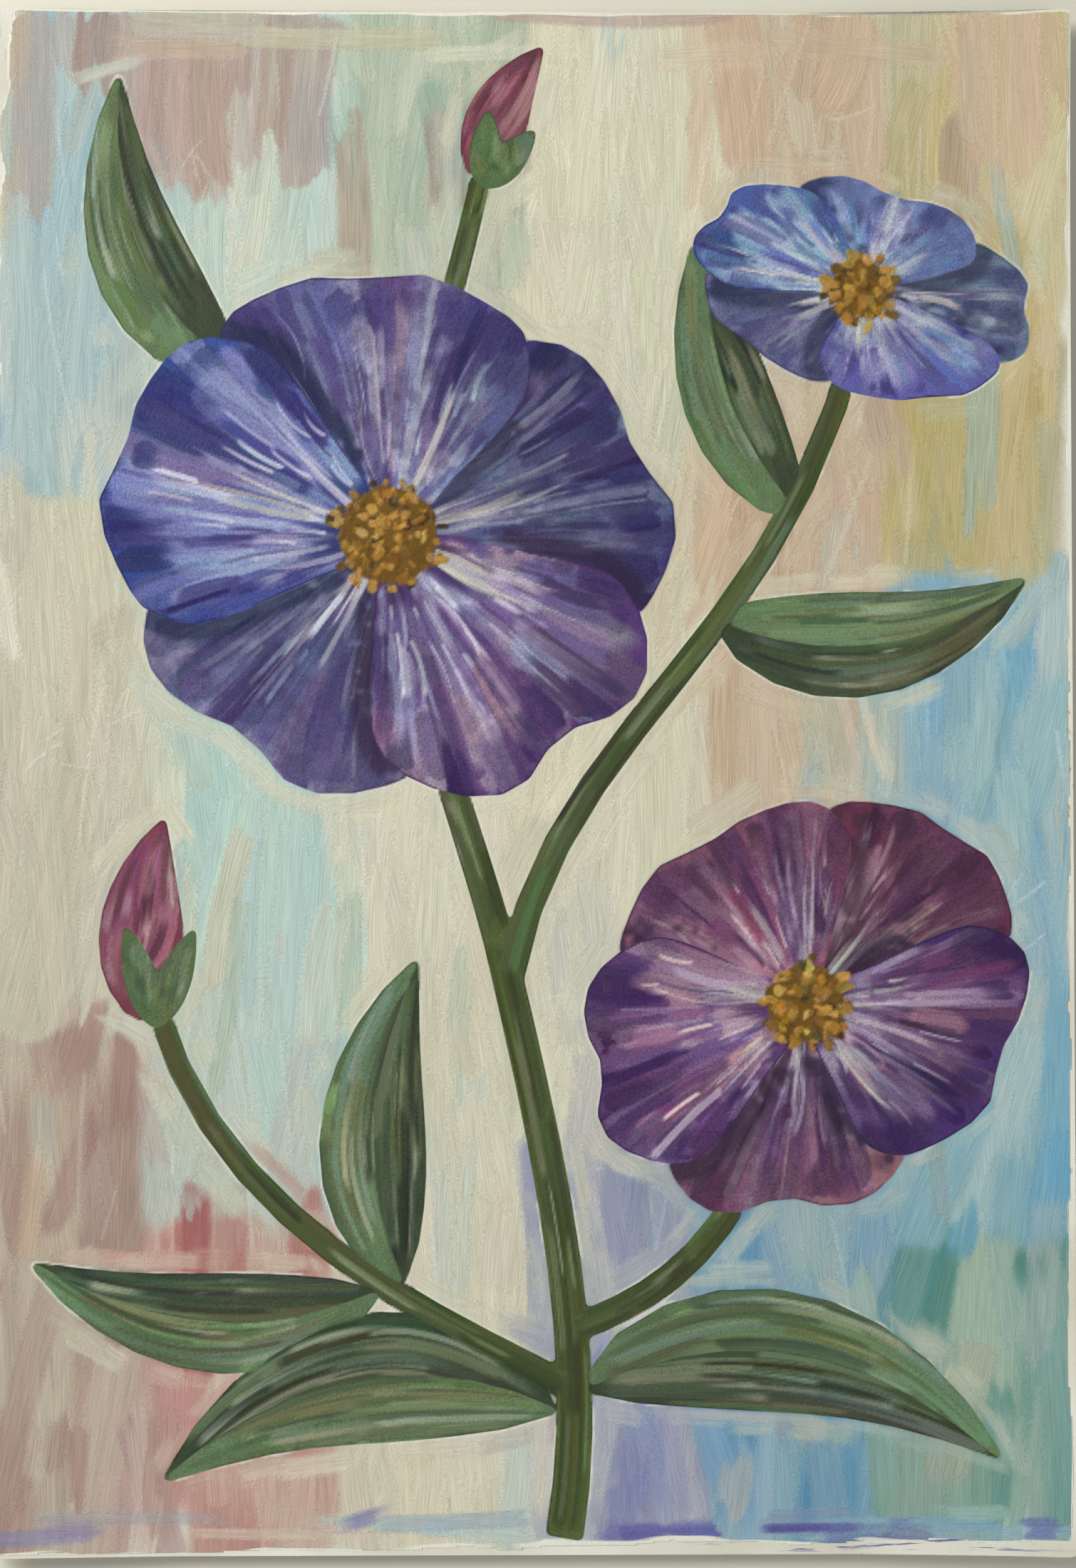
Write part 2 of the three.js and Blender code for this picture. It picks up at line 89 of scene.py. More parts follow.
NOISE_SIDE = 256
NOISE_SEED = 11
STROKE_SEED = 6

# The camera stands nearly straight above the sheet. The frame cuts off the sheet's left edge.
CAMERA_PLACE = (-0.0033, -0.0172, 0.62)
CAMERA_TILT = 1.405
CAMERA_PAN = -0.573
CAMERA_LENS = 34.72
SENSOR_HEIGHT = 24.0

# The lights' names, places, sizes, powers and colours. Soft light from the upper left is low enough
# to catch the brush ridges, and there is a weak fill.
LIGHTS = (
    ("window", (-1.25, 0.6, 0.7), 0.6, 29, (1.0, 0.99, 0.955)),
    ("fill", (0.9, -0.7, 1.3), 1.2, 4.5, (0.97, 0.985, 1.0)),
)
ROOM_COLOUR = (0.94, 0.98, 0.96, 1.0)
ROOM_STRENGTH = 0.3
FLOOR_HALF = 4.0
FLOOR_COLOUR = (0.76, 0.725, 0.62, 1.0)


# --- Numbers on the grid ---

NOISE_TABLE = np.random.default_rng(NOISE_SEED).random((NOISE_SIDE, NOISE_SIDE)) * 2 - 1
NOISE_TABLE = NOISE_TABLE.astype(np.float32)


def noise(x, y):
    """Smooth noise from -1 to 1 with a pitch of 1."""
    x, y = np.broadcast_arrays(x, y)
    column = np.floor(x).astype(np.int32)
    row = np.floor(y).astype(np.int32)
    u = x - column
    v = y - row
    u = u * u * (3 - 2 * u)
    v = v * v * (3 - 2 * v)
    left, right = column % NOISE_SIDE, (column + 1) % NOISE_SIDE
    below, above = row % NOISE_SIDE, (row + 1) % NOISE_SIDE
    low = NOISE_TABLE[below, left] * (1 - u) + NOISE_TABLE[below, right] * u
    high = NOISE_TABLE[above, left] * (1 - u) + NOISE_TABLE[above, right] * u
    return low * (1 - v) + high * v


def ramp(value, low, high):
    """0 below low, 1 above high, smooth between."""
    t = np.clip((value - low) / (high - low), 0, 1)
    return t * t * (3 - 2 * t)


def padded(field, axis, before, after, **how):
    """A field with cells added at the two ends of one axis."""
    return np.pad(field, [(before, after) if axis == k else (0, 0) for k in (0, 1)], **how)


def blur(field, radius):
    """A soft blur, as three box blurs each way."""
    half = max(1, round(radius / GRID * 0.6))
    size = 2 * half + 1
    for _ in range(3):
        for axis in (0, 1):
            wide = padded(field, axis, half + 1, half, mode="edge")
            total = np.swapaxes(np.cumsum(wide, axis=axis, dtype=np.float64), 0, axis)
            field = np.swapaxes((total[size:] - total[:-size]) / size, 0, axis)
    return field.astype(np.float32)


def spread(field):
    """A field widened by one cell each way."""
    for axis in (0, 1):
        field = np.maximum(field, np.maximum(np.roll(field, 1, axis), np.roll(field, -1, axis)))
    return field


def mixed(a, b, share):
    return a + (b - a) * share[..., None]


def number(rng, value):
    """A number, drawn where it is given as a range."""
    return rng.uniform(*value) if isinstance(value, tuple) else value


def drawn(rng, style):
    """A stroke's settings, with a number drawn for each that is given as a range."""
    return {key: number(rng, value) for key, value in style.items()}


def pick(rng, colours):
    return colours[rng.integers(len(colours))]


def place_on_sheet(rng, half_width, half_length):
    """A random place, no further from the sheet's middle than so many millimetres each way."""
    return np.array([rng.uniform(-half, half) for half in (half_width, half_length)])


def toward(angle):
    """A step of one millimetre in a direction."""
    return np.array([math.cos(angle), math.sin(angle)])


def turned(step):
    """A step turned a quarter of the way round to the left."""
    return np.array([-step[1], step[0]])


# --- Colours ---

def rgb(text):
    return np.array([int(text[k:k + 2], 16) / 255 for k in (0, 2, 4)], np.float32)


def palette(text):
    return [rgb(colour) for colour in text.split()]


def shaded(colour, amount):
    """Lighter for a positive amount, darker for a negative one."""
    return colour + (1 - colour) * amount if amount > 0 else colour * (1 + amount)


def varied(rng, colour, value=0.05, hue=0.02):
    """A colour close to the given one, as mixed afresh on the palette."""
    toned = shaded(colour, rng.normal(0, value))
    return np.clip(toned + rng.normal(0, hue, 3).astype(np.float32), 0.02, 0.98)


def lit(colour, contrast):
    """The lighter of the two colours that a paint's streaks run between."""
    return np.minimum(1, colour * (1 + 0.9 * contrast) + 0.3 * contrast)


def linear(colour):
    return np.where(colour < 0.04045, colour / 12.92, ((colour + 0.055) / 1.055) ** 2.4)


PAPER_WHITE = rgb("ebe9dd")
CREAM = rgb("dfd9c2")
PUTTY = rgb("c8c3ac")
DRY_GREY = rgb("b4b4a0")
SAGE = rgb("a8b8a3")
AQUA = rgb("afcdc8")
SKY = rgb("86b2c8")
PEACH = rgb("cdb094")
MAUVE = rgb("a5877d")
OCHRE = rgb("c38a2c")
YELLOW = rgb("e8c468")
LAVENDER = rgb("cfcbe4")
VIOLET = rgb("5f63a8")
FIELD_ACCENTS = [CREAM, AQUA, SAGE, SKY, PEACH, MAUVE]
GREEN_ACCENTS = palette("84946a 3e4a34 6e8a7a 7c6e44 8a9a78 566b3e")
BUD_ACCENTS = palette("c88a9a 6a2c46 b46e84")
BLOSSOM_ACCENTS = {
    "left": palette("8e90cc 6468b4 363a8c 9cc0de 9c78b0 b894ac 57407f"),
    "right": palette("c48c94 8c3458 6a3f78 dcb0ae 742f62 8c6cae"),
    "top": palette("8cc4e0 7c8cc4 dce6ea 4c5cae b4b0dc 5c90c8"),
}


# --- The canvas and the brush ---

class Canvas:
    """The painted surface. At each grid point it holds the paint's height, the two colours that its
    bristle streaks run between, the place along and across the last stroke, and how far grain shows
    in place of streaks.

    Outlines are finer than the grid. edge holds how far a point lies within the last shape painted
    there, 0.5 on its outline, and under holds the colour that shows outside it. open says where
    paint may go at all, and anywhere is the limit for strokes that are kept to no shape.
    """

    def __init__(self):
        self.x, self.y = (
            np.linspace(-side / 2, side / 2, round(side / GRID) + 1, dtype=np.float32)
            for side in (SHEET_WIDTH, SHEET_LENGTH)
        )
        shape = (len(self.y), len(self.x))
        for name in ("height", "along", "across"):
            setattr(self, name, np.zeros(shape, np.float32))
        for name in ("grain", "edge", "open", "inner", "relief", "anywhere"):
            setattr(self, name, np.ones(shape, np.float32))
        self.dark = np.tile(shaded(PAPER_WHITE, -0.03), shape + (1,))
        self.light = np.tile(shaded(PAPER_WHITE, 0.2), shape + (1,))
        self.under = np.tile(PAPER_WHITE, shape + (1,))
        self.in_shape = False

    def set_border(self, border):
        """Keeps the paint within a border, given as a field that is 0.5 on it."""
        self.edge = border
        self.open = ramp(border, 0.15, 0.3)
        self.inner = ramp(border, 0.7, 0.9)

    def start_shape(self, cover):
        """Starts a shape with a crisp outline, and returns how much paint each point may take."""
        soft = blur(at_points(cover), EDGE_BLUR)
        near = soft > 0.01
        around = spread(spread(near))
        shown = ramp(self.edge, 0.4, 0.6)
        self.under[around] = mixed(self.under, (self.dark + self.light) / 2, shown)[around]
        for field in (self.dark, self.light):
            field[near] = mixed(self.under, field, shown)[near]
        self.edge[near] = soft[near]
        self.relief = ramp(soft, 0.3, 0.6)
        self.in_shape = True
        return ramp(soft, 0.1, 0.2)

    def end_shape(self):
        self.relief = np.ones_like(self.edge)
        self.in_shape = False

    def lay(self, window, share, dark, light):
        """Lays two colours on a window, outside a shape on both sides of older outlines."""
        self.dark[window] += (dark - self.dark[window]) * share[..., None]
        self.light[window] += (light - self.light[window]) * share[..., None]
        if not self.in_shape:
            share = share * self.inner[window]
            self.under[window] += ((dark + light) / 2 - self.under[window]) * share[..., None]

    def colour_at(self, point):
        """The paint's colour near a point."""
        row = int(np.clip(np.searchsorted(self.y, point[1]), 0, len(self.y) - 1))
        column = int(np.clip(np.searchsorted(self.x, point[0]), 0, len(self.x) - 1))
        return (self.dark[row, column] + self.light[row, column]) / 2

    def window(self, low, high):
        """The rows and columns of the grid points in a box."""
        columns = slice(*np.searchsorted(self.x, [low[0], high[0]]))
        rows = slice(*np.searchsorted(self.y, [low[1], high[1]]))
        return rows, columns

    def places(self, window):
        """The x of a window's columns and the y of its rows, ready to be combined."""
        return self.x[window[1]][None, :], self.y[window[0]][:, None]


WHOLE = np.s_[:, :]


def stroke_places(px, py, points):
    """Each point's share of the way along a curve, and its distances along and across it."""
    start, bend, end = points
    chord = end - start
    t = ((px - start[0]) * chord[0] + (py - start[1]) * chord[1]) / max(1e-6, chord @ chord)
    for _ in range(2):
        t = np.clip(t, -0.08, 1.08)
        cx, cy = ((1 - t) ** 2 * start[k] + 2 * t * (1 - t) * bend[k] + t * t * end[k]
                  for k in (0, 1))
        dx, dy = (2 * (1 - t) * (bend[k] - start[k]) + 2 * t * (end[k] - bend[k]) for k in (0, 1))
        speed = dx * dx + dy * dy + 1e-6
        t = t + ((px - cx) * dx + (py - cy) * dy) / speed
    length = (np.linalg.norm(bend - start) + np.linalg.norm(end - bend) + np.linalg.norm(chord)) / 2
    across = ((py - cy) * dx - (px - cx) * dy) / np.sqrt(speed)
    return t, t * length, across, length


def brush(canvas, rng, points, paint, limit, width, opacity=0.9, body=0.08, dry=0.0, ragged=4.0,
          fade=1.5, ease=1.0, soft=0.16, cap=0.3, contrast=0.05, grain=0.3, rim=0.4, wash=0.08,
          pick_up=0.0):
    """One stroke of a flat brush along a quadratic curve of three points.

    paint is a pair of colours that the bristles carry unmixed, and pick_up is how much of the paint
    already under the stroke's start they take along. limit says how much paint each grid point may
    take. body is the paint's height, rim how far it piles up at the edges, and wash how far it
    darkens there. The stroke starts over the length of ease and ends over that of fade. Its ends
    are ragged by so many millimetres, and are square where cap is 0 and round where it is 1. soft
    is the share of the half width over which the sides thin out.
    """
    points = np.asarray(points, np.float32)
    half = width / 2
    window = canvas.window(points.min(0) - half * 1.15, points.max(0) + half * 1.15)
    allowed = limit[window] * canvas.open[window]
    if not allowed.size or allowed.max() < 0.02:
        return
    t, along, across, length = stroke_places(*canvas.places(window), points)
    offset = rng.random(8) * NOISE_SIDE

    # Where the stroke's outline is, and how its bristles mark it along its length.
    wobble = noise(along / 11 + offset[0], offset[1])
    inside = 1 - np.abs(across / half + 0.06 * wobble) + 0.05 * wobble
    coarse = noise(across / 2.1 + offset[2], along / 60 + offset[3])
    fine = noise(across / 1.3 + offset[4], along / 30 + offset[5])
    lift = 0.5 + 0.5 * noise(across / 2.8 + offset[6], along / 90)
    lift = lift + 0.25 * noise(across / 1.1 + offset[6], along / 90)
    land = 0.5 + 0.6 * noise(across / 2.0 + offset[7], along / 90)
    corner = cap * half * (1 - np.sqrt(1 - np.clip(across / half, -1, 1) ** 2))
    tail = length - along - ragged * lift - corner
    head = along - 0.4 * ragged * land - corner

    # How much paint it leaves. A dry brush leaves gaps, more of them towards its end.
    shape = ramp(inside, 0.0, max(soft, LEAST_SOFT / half)) * ramp(head, 0.0, ease)
    shape = shape * ramp(tail, 0.0, fade)
    bare = np.clip(dry * (0.75 + 1.1 * t) - 0.55 - 0.9 * dry * (0.6 * coarse + 0.4 * fine), 0, 1)
    alpha = opacity * shape * (1 - ramp(bare, 0.0, 0.5)) * allowed

    tone = noise(across / (2.0 + 0.3 * half) + offset[1], along / 75 + offset[0])
    tone = 0.5 + 0.5 * np.clip(1.3 * tone + 0.4 * coarse, -1, 1)
    under = canvas.colour_at(points[0])
    first, second = (colour + (under - colour) * pick_up for colour in paint)
    colour = mixed(first, second, tone) * (1 - wash * np.exp(-((inside / 0.14) ** 2)))[..., None]
    canvas.lay(window, alpha, colour * (1 - contrast), lit(colour, contrast))

    # The ridges at its sides and at its end.
    ridge = np.exp(-(((inside - 0.12) / 0.1) ** 2))
    ridge = ridge + 0.8 * np.exp(-((tail / (0.5 + 0.5 * fade) - 0.4) ** 2))
    height = canvas.height[window] * 0.6 + body * (0.8 + 0.35 * coarse + 0.5 * fine + rim * ridge)
    canvas.height[window] += (height - canvas.height[window]) * alpha * canvas.relief[window]
    canvas.grain[window] += (grain - canvas.grain[window]) * alpha
    taken = alpha > 0.4
    canvas.along[window] = np.where(taken, along + offset[0] * 40, canvas.along[window])
    canvas.across[window] = np.where(taken, across + offset[1] * 9, canvas.across[window])


def first_coat(canvas, rng, limit, colour, body=0.06):
    """A first coat that fills an outline, scrubbed on so that it has no direction."""
    offset = rng.random(4) * NOISE_SIDE
    px, py = canvas.places(WHOLE)
    blotch = noise(px / 6 + offset[0], py / 6 + offset[1])
    blotch = blotch + 0.6 * noise(px / 2.2 + offset[2], py / 2.2 + offset[3])
    tint = colour * (1 + 0.05 * blotch)[..., None]
    canvas.lay(WHOLE, limit, tint * 0.92, lit(tint, 0.1))
    height = canvas.height * 0.5 + body * (1 + 0.2 * blotch)
    canvas.height += (height - canvas.height) * limit * canvas.relief
    canvas.grain += (0.7 - canvas.grain) * limit


def glaze(canvas, rng, band, colour, amount, pitch, gaps):
    """A broken line of colour in a band, which is missing where noise is below gaps."""
    rows, columns = np.nonzero(band > 0.02)
    if not len(rows):
        return
    window = slice(rows.min(), rows.max() + 1), slice(columns.min(), columns.max() + 1)
    offset = rng.random(2) * NOISE_SIDE
    px, py = canvas.places(window)
    rough = noise(px / pitch + offset[0], py / pitch + offset[1])
    rough = rough + 0.35 * noise(px / 2.6 + offset[1], py / 2.6)
    broken = ramp(rough, gaps, gaps + 0.5)
    canvas.lay(window, amount * band[window] * broken, colour * 0.94, shaded(colour, 0.05))


# --- Regions ---

def slot_of(node):
    return next(s["material_slot"] for s in frame["record"]["subparts"] if s["node"] == node)


def slot_colour(node):
    slot = slot_of(node)
    colour = next(m["base_color"] for m in frame["record"]["materials"] if m["slot"] == slot)
    return np.array(colour, np.float32)


def read_all(items, name, size, kind):
    """One property of all of a mesh's vertices, corners or faces."""
    values = np.empty(len(items) * size, kind)
    items.foreach_get(name, values)
    return values


def left_of(start, end, x, y):
    """Above 0 for places to the left of the line from start to end, below 0 to its right."""
    return (end[0] - start[0]) * (y - start[1]) - (end[1] - start[1]) * (x - start[0])


def cover_under(canvas, node, fine):
    """How much of each cell lies under a solid's upward faces, from fine by fine places."""
    mesh = frame["nodes"][node].data
    mesh.calc_loop_triangles()
    corners = read_all(mesh.vertices, "co", 3, np.float32).reshape(-1, 3)[:, :2] / MM
    index = read_all(mesh.loop_triangles, "vertices", 3, np.int32)
    rows_all = (len(canvas.y) - 1) * fine
    columns_all = (len(canvas.x) - 1) * fine
    place_x = canvas.x[0] + (np.arange(columns_all) + 0.5) * GRID / fine
    place_y = canvas.y[0] + (np.arange(rows_all) + 0.5) * GRID / fine
    under = np.zeros((rows_all, columns_all), bool)
    for a, b, c in corners[index.reshape(-1, 3)]:
        if left_of(a, b, *c) <= 1e-6:
            continue
        low = np.minimum(np.minimum(a, b), c)
        high = np.maximum(np.maximum(a, b), c)
        columns = slice(*np.searchsorted(place_x, [low[0], high[0]]))
        rows = slice(*np.searchsorted(place_y, [low[1], high[1]]))
        px = place_x[columns][None, :]
        py = place_y[rows][:, None]
        inside = np.ones((py.size, px.size), bool)
        for p, q in ((a, b), (b, c), (c, a)):
            inside &= left_of(p, q, px, py) >= -1e-4
        under[rows, columns] |= inside
    under = under.reshape(rows_all // fine, fine, columns_all // fine, fine)
    return under.mean((1, 3), dtype=np.float32)


def level(node):
    """How high a coat lies: base coat, colour fields, motif, streaks, centres."""
    return LEVELS.get(node.split("_")[0], MOTIF_LEVEL)


def coat_regions(canvas, nodes):
    """How far each coat covers each cell, and for each cell the index of the coat on top, or -1 on
    bare paper. The gaps between neighbouring coats are closed.
    """
    covers = {}
    top = np.full((len(canvas.y) - 1, len(canvas.x) - 1), -1, np.int32)
    for height in range(TOP_LEVEL + 1):
        here = np.full_like(top, -1)
        for index, node in enumerate(nodes):
            if level(node) == height:
                covers[node] = cover_under(canvas, node, FINE if height >= MOTIF_LEVEL else 1)
                here[covers[node] > 0.5] = index
                covers[node] = spread(covers[node]) * (top >= 0) if height > 0 else covers[node]
        closed = here.copy()
        for shift, axis in ((1, 0), (-1, 0), (1, 1), (-1, 1)):
            moved = np.roll(here, shift, axis)
            take = (closed < 0) & (moved >= 0) & (top >= 0)
            closed[take] = moved[take]
        top = np.where(closed >= 0, closed, top)
    return covers, top


def at_points(cover):
    """How far each grid point's neighbourhood is covered, from how far the cells are."""
    wide = np.pad(cover, 1, mode="edge")
    return (wide[1:, 1:] + wide[1:, :-1] + wide[:-1, 1:] + wide[:-1, :-1]) / 4


def limit_of(cover, radius=0.8):
    """How much paint each grid point may take from loose strokes that are kept within a region."""
    return ramp(blur(at_points(cover), radius), 0.28, 0.62)


def edge_band(cover, radius, low, high):
    """A band along an outline, between two levels of its blurred mask."""
    soft = blur(at_points(cover), radius)
    return ramp(soft, low - 0.12, low) * (1 - ramp(soft, high, high + 0.12))


def brushed_border(canvas, cover):
    """How far each point lies within the painted area. Close to its border a dry brush that ran
    along the sheet's edge left bare streaks, which are longest at the bottom.
    """
    x, y = canvas.places(WHOLE)
    level_run = noise(x / 22, y / 1.5 + 40) + 0.4 * noise(x / 7, y / 1.2)
    upright_run = noise(x / 1.5 + 40, y / 22) + 0.4 * noise(x / 1.2, y / 7)
    near_end = SHEET_LENGTH / 2 - np.abs(y) < SHEET_WIDTH / 2 - np.abs(x)
    streaks = np.where(near_end, level_run, upright_run)
    painted = at_points(cover)
    close = blur(painted, 1.0)
    inside = close + (blur(painted, 2.6) - close) * ramp(-y, 180, 200)
    return np.clip(inside - 0.06 + 0.34 * streaks * (1 - ramp(inside, 0.8, 1.0)), 0, 1)


def middle_of(canvas, cover):
    rows, columns = np.nonzero(cover > 0.5)
    return np.array([canvas.x[columns].mean() + GRID / 2, canvas.y[rows].mean() + GRID / 2])


# --- Painting ---

GROUND_STROKES = 120
GROUND_STYLE = dict(
    width=(14, 26), opacity=0.95, dry=0.15, grain=0.5, body=0.04, ragged=8.0, fade=3.0, ease=3.0,
    soft=0.4,
)


def paint_ground(canvas, rng):
    """The base coat: long upright strokes of cream over the whole painted part of the sheet."""
    for _ in range(GROUND_STROKES):
        x, y = place_on_sheet(rng, 150, 215)
        half = rng.uniform(45, 95)
        lean = rng.normal(0, 8)
        points = [(x - lean * 0.3, y - half), (x + lean, y), (x + lean * 1.3, y + half)]
        paint = (varied(rng, CREAM), varied(rng, PUTTY))
        brush(canvas, rng, points, paint, canvas.anywhere, **drawn(rng, GROUND_STYLE))


# The strokes of the colour fields, in the order they go on. area is the field's area in mm2 for
# each stroke, half the stroke's half length, tint how strongly it carries the field's own colour,
# or None where it carries another, and reach how far it may run over the field's border.
FIELD_LAYERS = (
    dict(
        area=210, half=(30, 75), tint=(0.5, 1.0), reach="near",
        style=dict(
            width=(15, 28), opacity=0.92, soft=(0.3, 0.7), cap=0.7, ragged=(5, 14), fade=(4, 16),
            ease=(6, 24), body=(0.06, 0.1), dry=(0.0, 0.3), grain=(0.0, 0.4), contrast=0.06,
            pick_up=0.25,
        ),
    ),
    dict(
        area=300, half=(10, 42), tint=(0.5, 1.45), reach="far",
        style=dict(
            width=(6, 17), opacity=(0.4, 0.88), soft=(0.1, 0.5), cap=0.6, ragged=(5, 18),
            fade=(1, 6), ease=(3, 16), body=(0.06, 0.11), dry=(0.0, 0.5), grain=(0.0, 0.4),
            contrast=(0.04, 0.08), pick_up=(0.1, 0.45),
        ),
    ),
    dict(
        area=1300, half=(10, 32), tint=None, reach="far",
        style=dict(
            width=(5, 14), opacity=(0.35, 0.75), soft=(0.1, 0.5), cap=0.6, ragged=(5, 16),
            fade=(1, 5), ease=(3, 14), body=(0.07, 0.12), dry=(0.0, 0.5), grain=(0.0, 0.3),
            contrast=0.07, pick_up=(0.2, 0.6),
        ),
    ),
    dict(
        area=2200, half=(8, 28), tint=0.1, reach="far",
        style=dict(
            width=(2, 8), opacity=(0.3, 0.7), soft=0.4, ragged=8, fade=4, ease=4, body=0.1,
            dry=(0.6, 0.9), grain=0.1, contrast=0.06,
        ),
    ),
)
FIELD_REACH = {"near": (0.12, 0.6), "far": (0.02, 0.2)}

# Raised lines that stray bristles leave, painted paler as painted highlights, and fine creases in
# the dried paint, painted dark as painted shade.
FIELD_LINES = (
    dict(
        area=1500, half=(8, 30), tone=0.25,
        style=dict(
            width=(1.0, 1.7), opacity=(0.4, 0.7), soft=0.8, ragged=3, fade=6, body=(0.1, 0.17),
            grain=0.0, contrast=0.04, wash=0.0, rim=0.0,
        ),
    ),
    dict(
        area=2600, half=(3, 10), tone=-0.4,
        style=dict(
            width=(0.7, 0.9), opacity=(0.15, 0.4), soft=0.9, ragged=2, fade=4, body=0.0, grain=0.0,
            rim=0.0,
        ),
    ),
)


def field_tint(x, y, colour, tint):
    """A background stroke's colour: a neutral that shifts over the sheet, and the field's own."""
    neutral = PUTTY + (CREAM - PUTTY) * (0.5 + 0.5 * noise(x / 50 + 7, y / 80 + 3))
    purity = ramp(noise(x / 42 + 60, y / 60 + 20), -0.8, 0.3)
    return neutral + (colour - neutral) * tint * (0.5 + 0.6 * purity)


def upright(rng, x, y, half):
    """An upright stroke's curve through a point, brushed up or down."""
    lean = rng.normal(0, 0.14) * half
    up = rng.choice([-1, 1])
    middle = (x + rng.normal(0, 0.08) * half, y)
    return [(x - lean, y - up * half), middle, (x + lean, y + up * half)]


def places_in(canvas, rng, cover, area):
    """Random places in a region, one for each so many square millimetres of it."""
    rows, columns = np.nonzero(cover)
    for _ in range(int(cover.sum() * GRID * GRID / area)):
        here = rng.integers(len(rows))
        yield canvas.x[columns[here]], canvas.y[rows[here]]


def paint_field(canvas, rng, cover, colour, layer):
    """One layer of a colour field's upright strokes."""
    limit = ramp(blur(at_points(cover), 6.0), *FIELD_REACH[layer["reach"]])
    for x, y in places_in(canvas, rng, cover, layer["area"]):
        half = rng.uniform(*layer["half"])
        if layer["tint"] is None:
            base = pick(rng, FIELD_ACCENTS)
        else:
            base = field_tint(x, y, colour, number(rng, layer["tint"]))
        first = varied(rng, base, 0.03, 0.01)
        second = varied(rng, shaded(base, rng.choice([-0.05, 0.07])), 0.02, 0.01)
        points = upright(rng, x, y, half)
        brush(canvas, rng, points, (first, second), limit, **drawn(rng, layer["style"]))


def paint_field_lines(canvas, rng, cover):
    """A colour field's raised lines, painted lighter as painted highlights, and its creases,
    painted darker as painted shade.
    """
    limit = at_points(cover)
    for kind in FIELD_LINES:
        for x, y in places_in(canvas, rng, cover, kind["area"]):
            # The raised lines are painted lighter, as painted highlights, and the creases darker,
            # as painted shade.
            line = shaded(canvas.colour_at((x, y)), kind["tone"])
            points = upright(rng, x, y, rng.uniform(*kind["half"]))
            brush(canvas, rng, points, (line, line), limit, **drawn(rng, kind["style"]))


# Upright strokes that hang from the top edge: how many, between which places, and in which colour.
HANGING = (
    (13, (-138, -55), MAUVE),
    (12, (30, 138), PEACH),
)
HANG_FROM = SHEET_LENGTH / 2 + 2
HANGING_STYLE = dict(
    width=(7, 17), opacity=(0.45, 0.85), soft=(0.15, 0.5), cap=0.6, ragged=(6, 18), fade=(1, 5),
    body=(0.06, 0.1), dry=(0.0, 0.4), grain=(0.2, 0.6), contrast=0.06, pick_up=(0.0, 0.3),
)
# Level strokes along the bottom and top edges: how many, between which heights, how wide, and in
# which colours.
EDGE_ROWS = (
    (18, (-206, -198), (3, 8), (SKY, AQUA, VIOLET, CREAM, SKY)),
    (10, (197, 208), (4, 11), (MAUVE, PEACH, CREAM)),
)
EDGE_STYLE = dict(
    opacity=(0.35, 0.8), soft=(0.2, 0.6), ragged=(4, 11), fade=(2, 9), ease=(2, 9),
    body=(0.06, 0.1), dry=(0.1, 0.6), contrast=0.06, pick_up=(0.2, 0.6),
)
# Short dark dabs above the bottom margin.
EDGE_DABS = 8
EDGE_DAB_STYLE = dict(
    width=(3, 9), opacity=(0.5, 0.9), soft=(0.2, 0.8), ragged=(3, 10), fade=(1, 5), ease=(1, 5),
    body=0.1, cap=0.8, dry=(0.0, 0.5), grain=(0.5, 0.9), contrast=0.1, wash=0.04,
)


def paint_hanging(canvas, rng):
    """Upright strokes that hang from the sheet's top edge."""
    for count, places, tint in HANGING:
        for _ in range(count):
            x = rng.uniform(*places)
            low = HANG_FROM - 4 - rng.uniform(18, 62)
            middle = (x + rng.normal(0, 3), (low + HANG_FROM) / 2)
            points = [(x, HANG_FROM), middle, (x + rng.normal(0, 4), low)]
            paint = (varied(rng, tint, 0.06, 0.01), varied(rng, shaded(tint, 0.08), 0.04, 0.01))
            brush(canvas, rng, points, paint, canvas.anywhere, **drawn(rng, HANGING_STYLE))


def paint_edges(canvas, rng):
    """Level strokes that run along both ends of the sheet, and dabs at its bottom."""
    for count, heights, widths, colours in EDGE_ROWS:
        for _ in range(count):
            x = rng.uniform(-140, 145)
            y = rng.uniform(*heights)
            half = rng.uniform(10, 36) * rng.choice([-1, 1])
            start = (x - half, y + rng.normal(0, 1.5))
            points = [start, (x, y), (x + half, y + rng.normal(0, 1.5))]
            tint = pick(rng, colours)
            paint = (varied(rng, tint, 0.04), varied(rng, shaded(tint, 0.1), 0.04))
            width = rng.uniform(*widths)
            brush(canvas, rng, points, paint, canvas.anywhere, width, **drawn(rng, EDGE_STYLE))
    for _ in range(EDGE_DABS):
        x = rng.uniform(20, 140)
        y = rng.uniform(-206.5, -202.5)
        half = rng.uniform(6, 18)
        points = [(x - half, y), (x, y + rng.uniform(-1, 2.5)), (x + half, y)]
        paint = (varied(rng, VIOLET, 0.08), varied(rng, shaded(VIOLET, -0.2), 0.08))
        brush(canvas, rng, points, paint, canvas.anywhere, **drawn(rng, EDGE_DAB_STYLE))


WRINKLES = 42
WRINKLE_STYLE = dict(
    width=(0.8, 1.3), opacity=(0.35, 0.7), soft=0.8, ragged=2, fade=5, body=(0.1, 0.18), grain=0.0,
    wash=0.0, rim=0.0,
)
SPECKS = 70
SPECK_STYLE = dict(
    width=(0.8, 1.4), opacity=(0.5, 0.9), soft=0.9, ragged=0.3, fade=0.6, body=(0.05, 0.25),
    grain=0.5, rim=0.0,
)


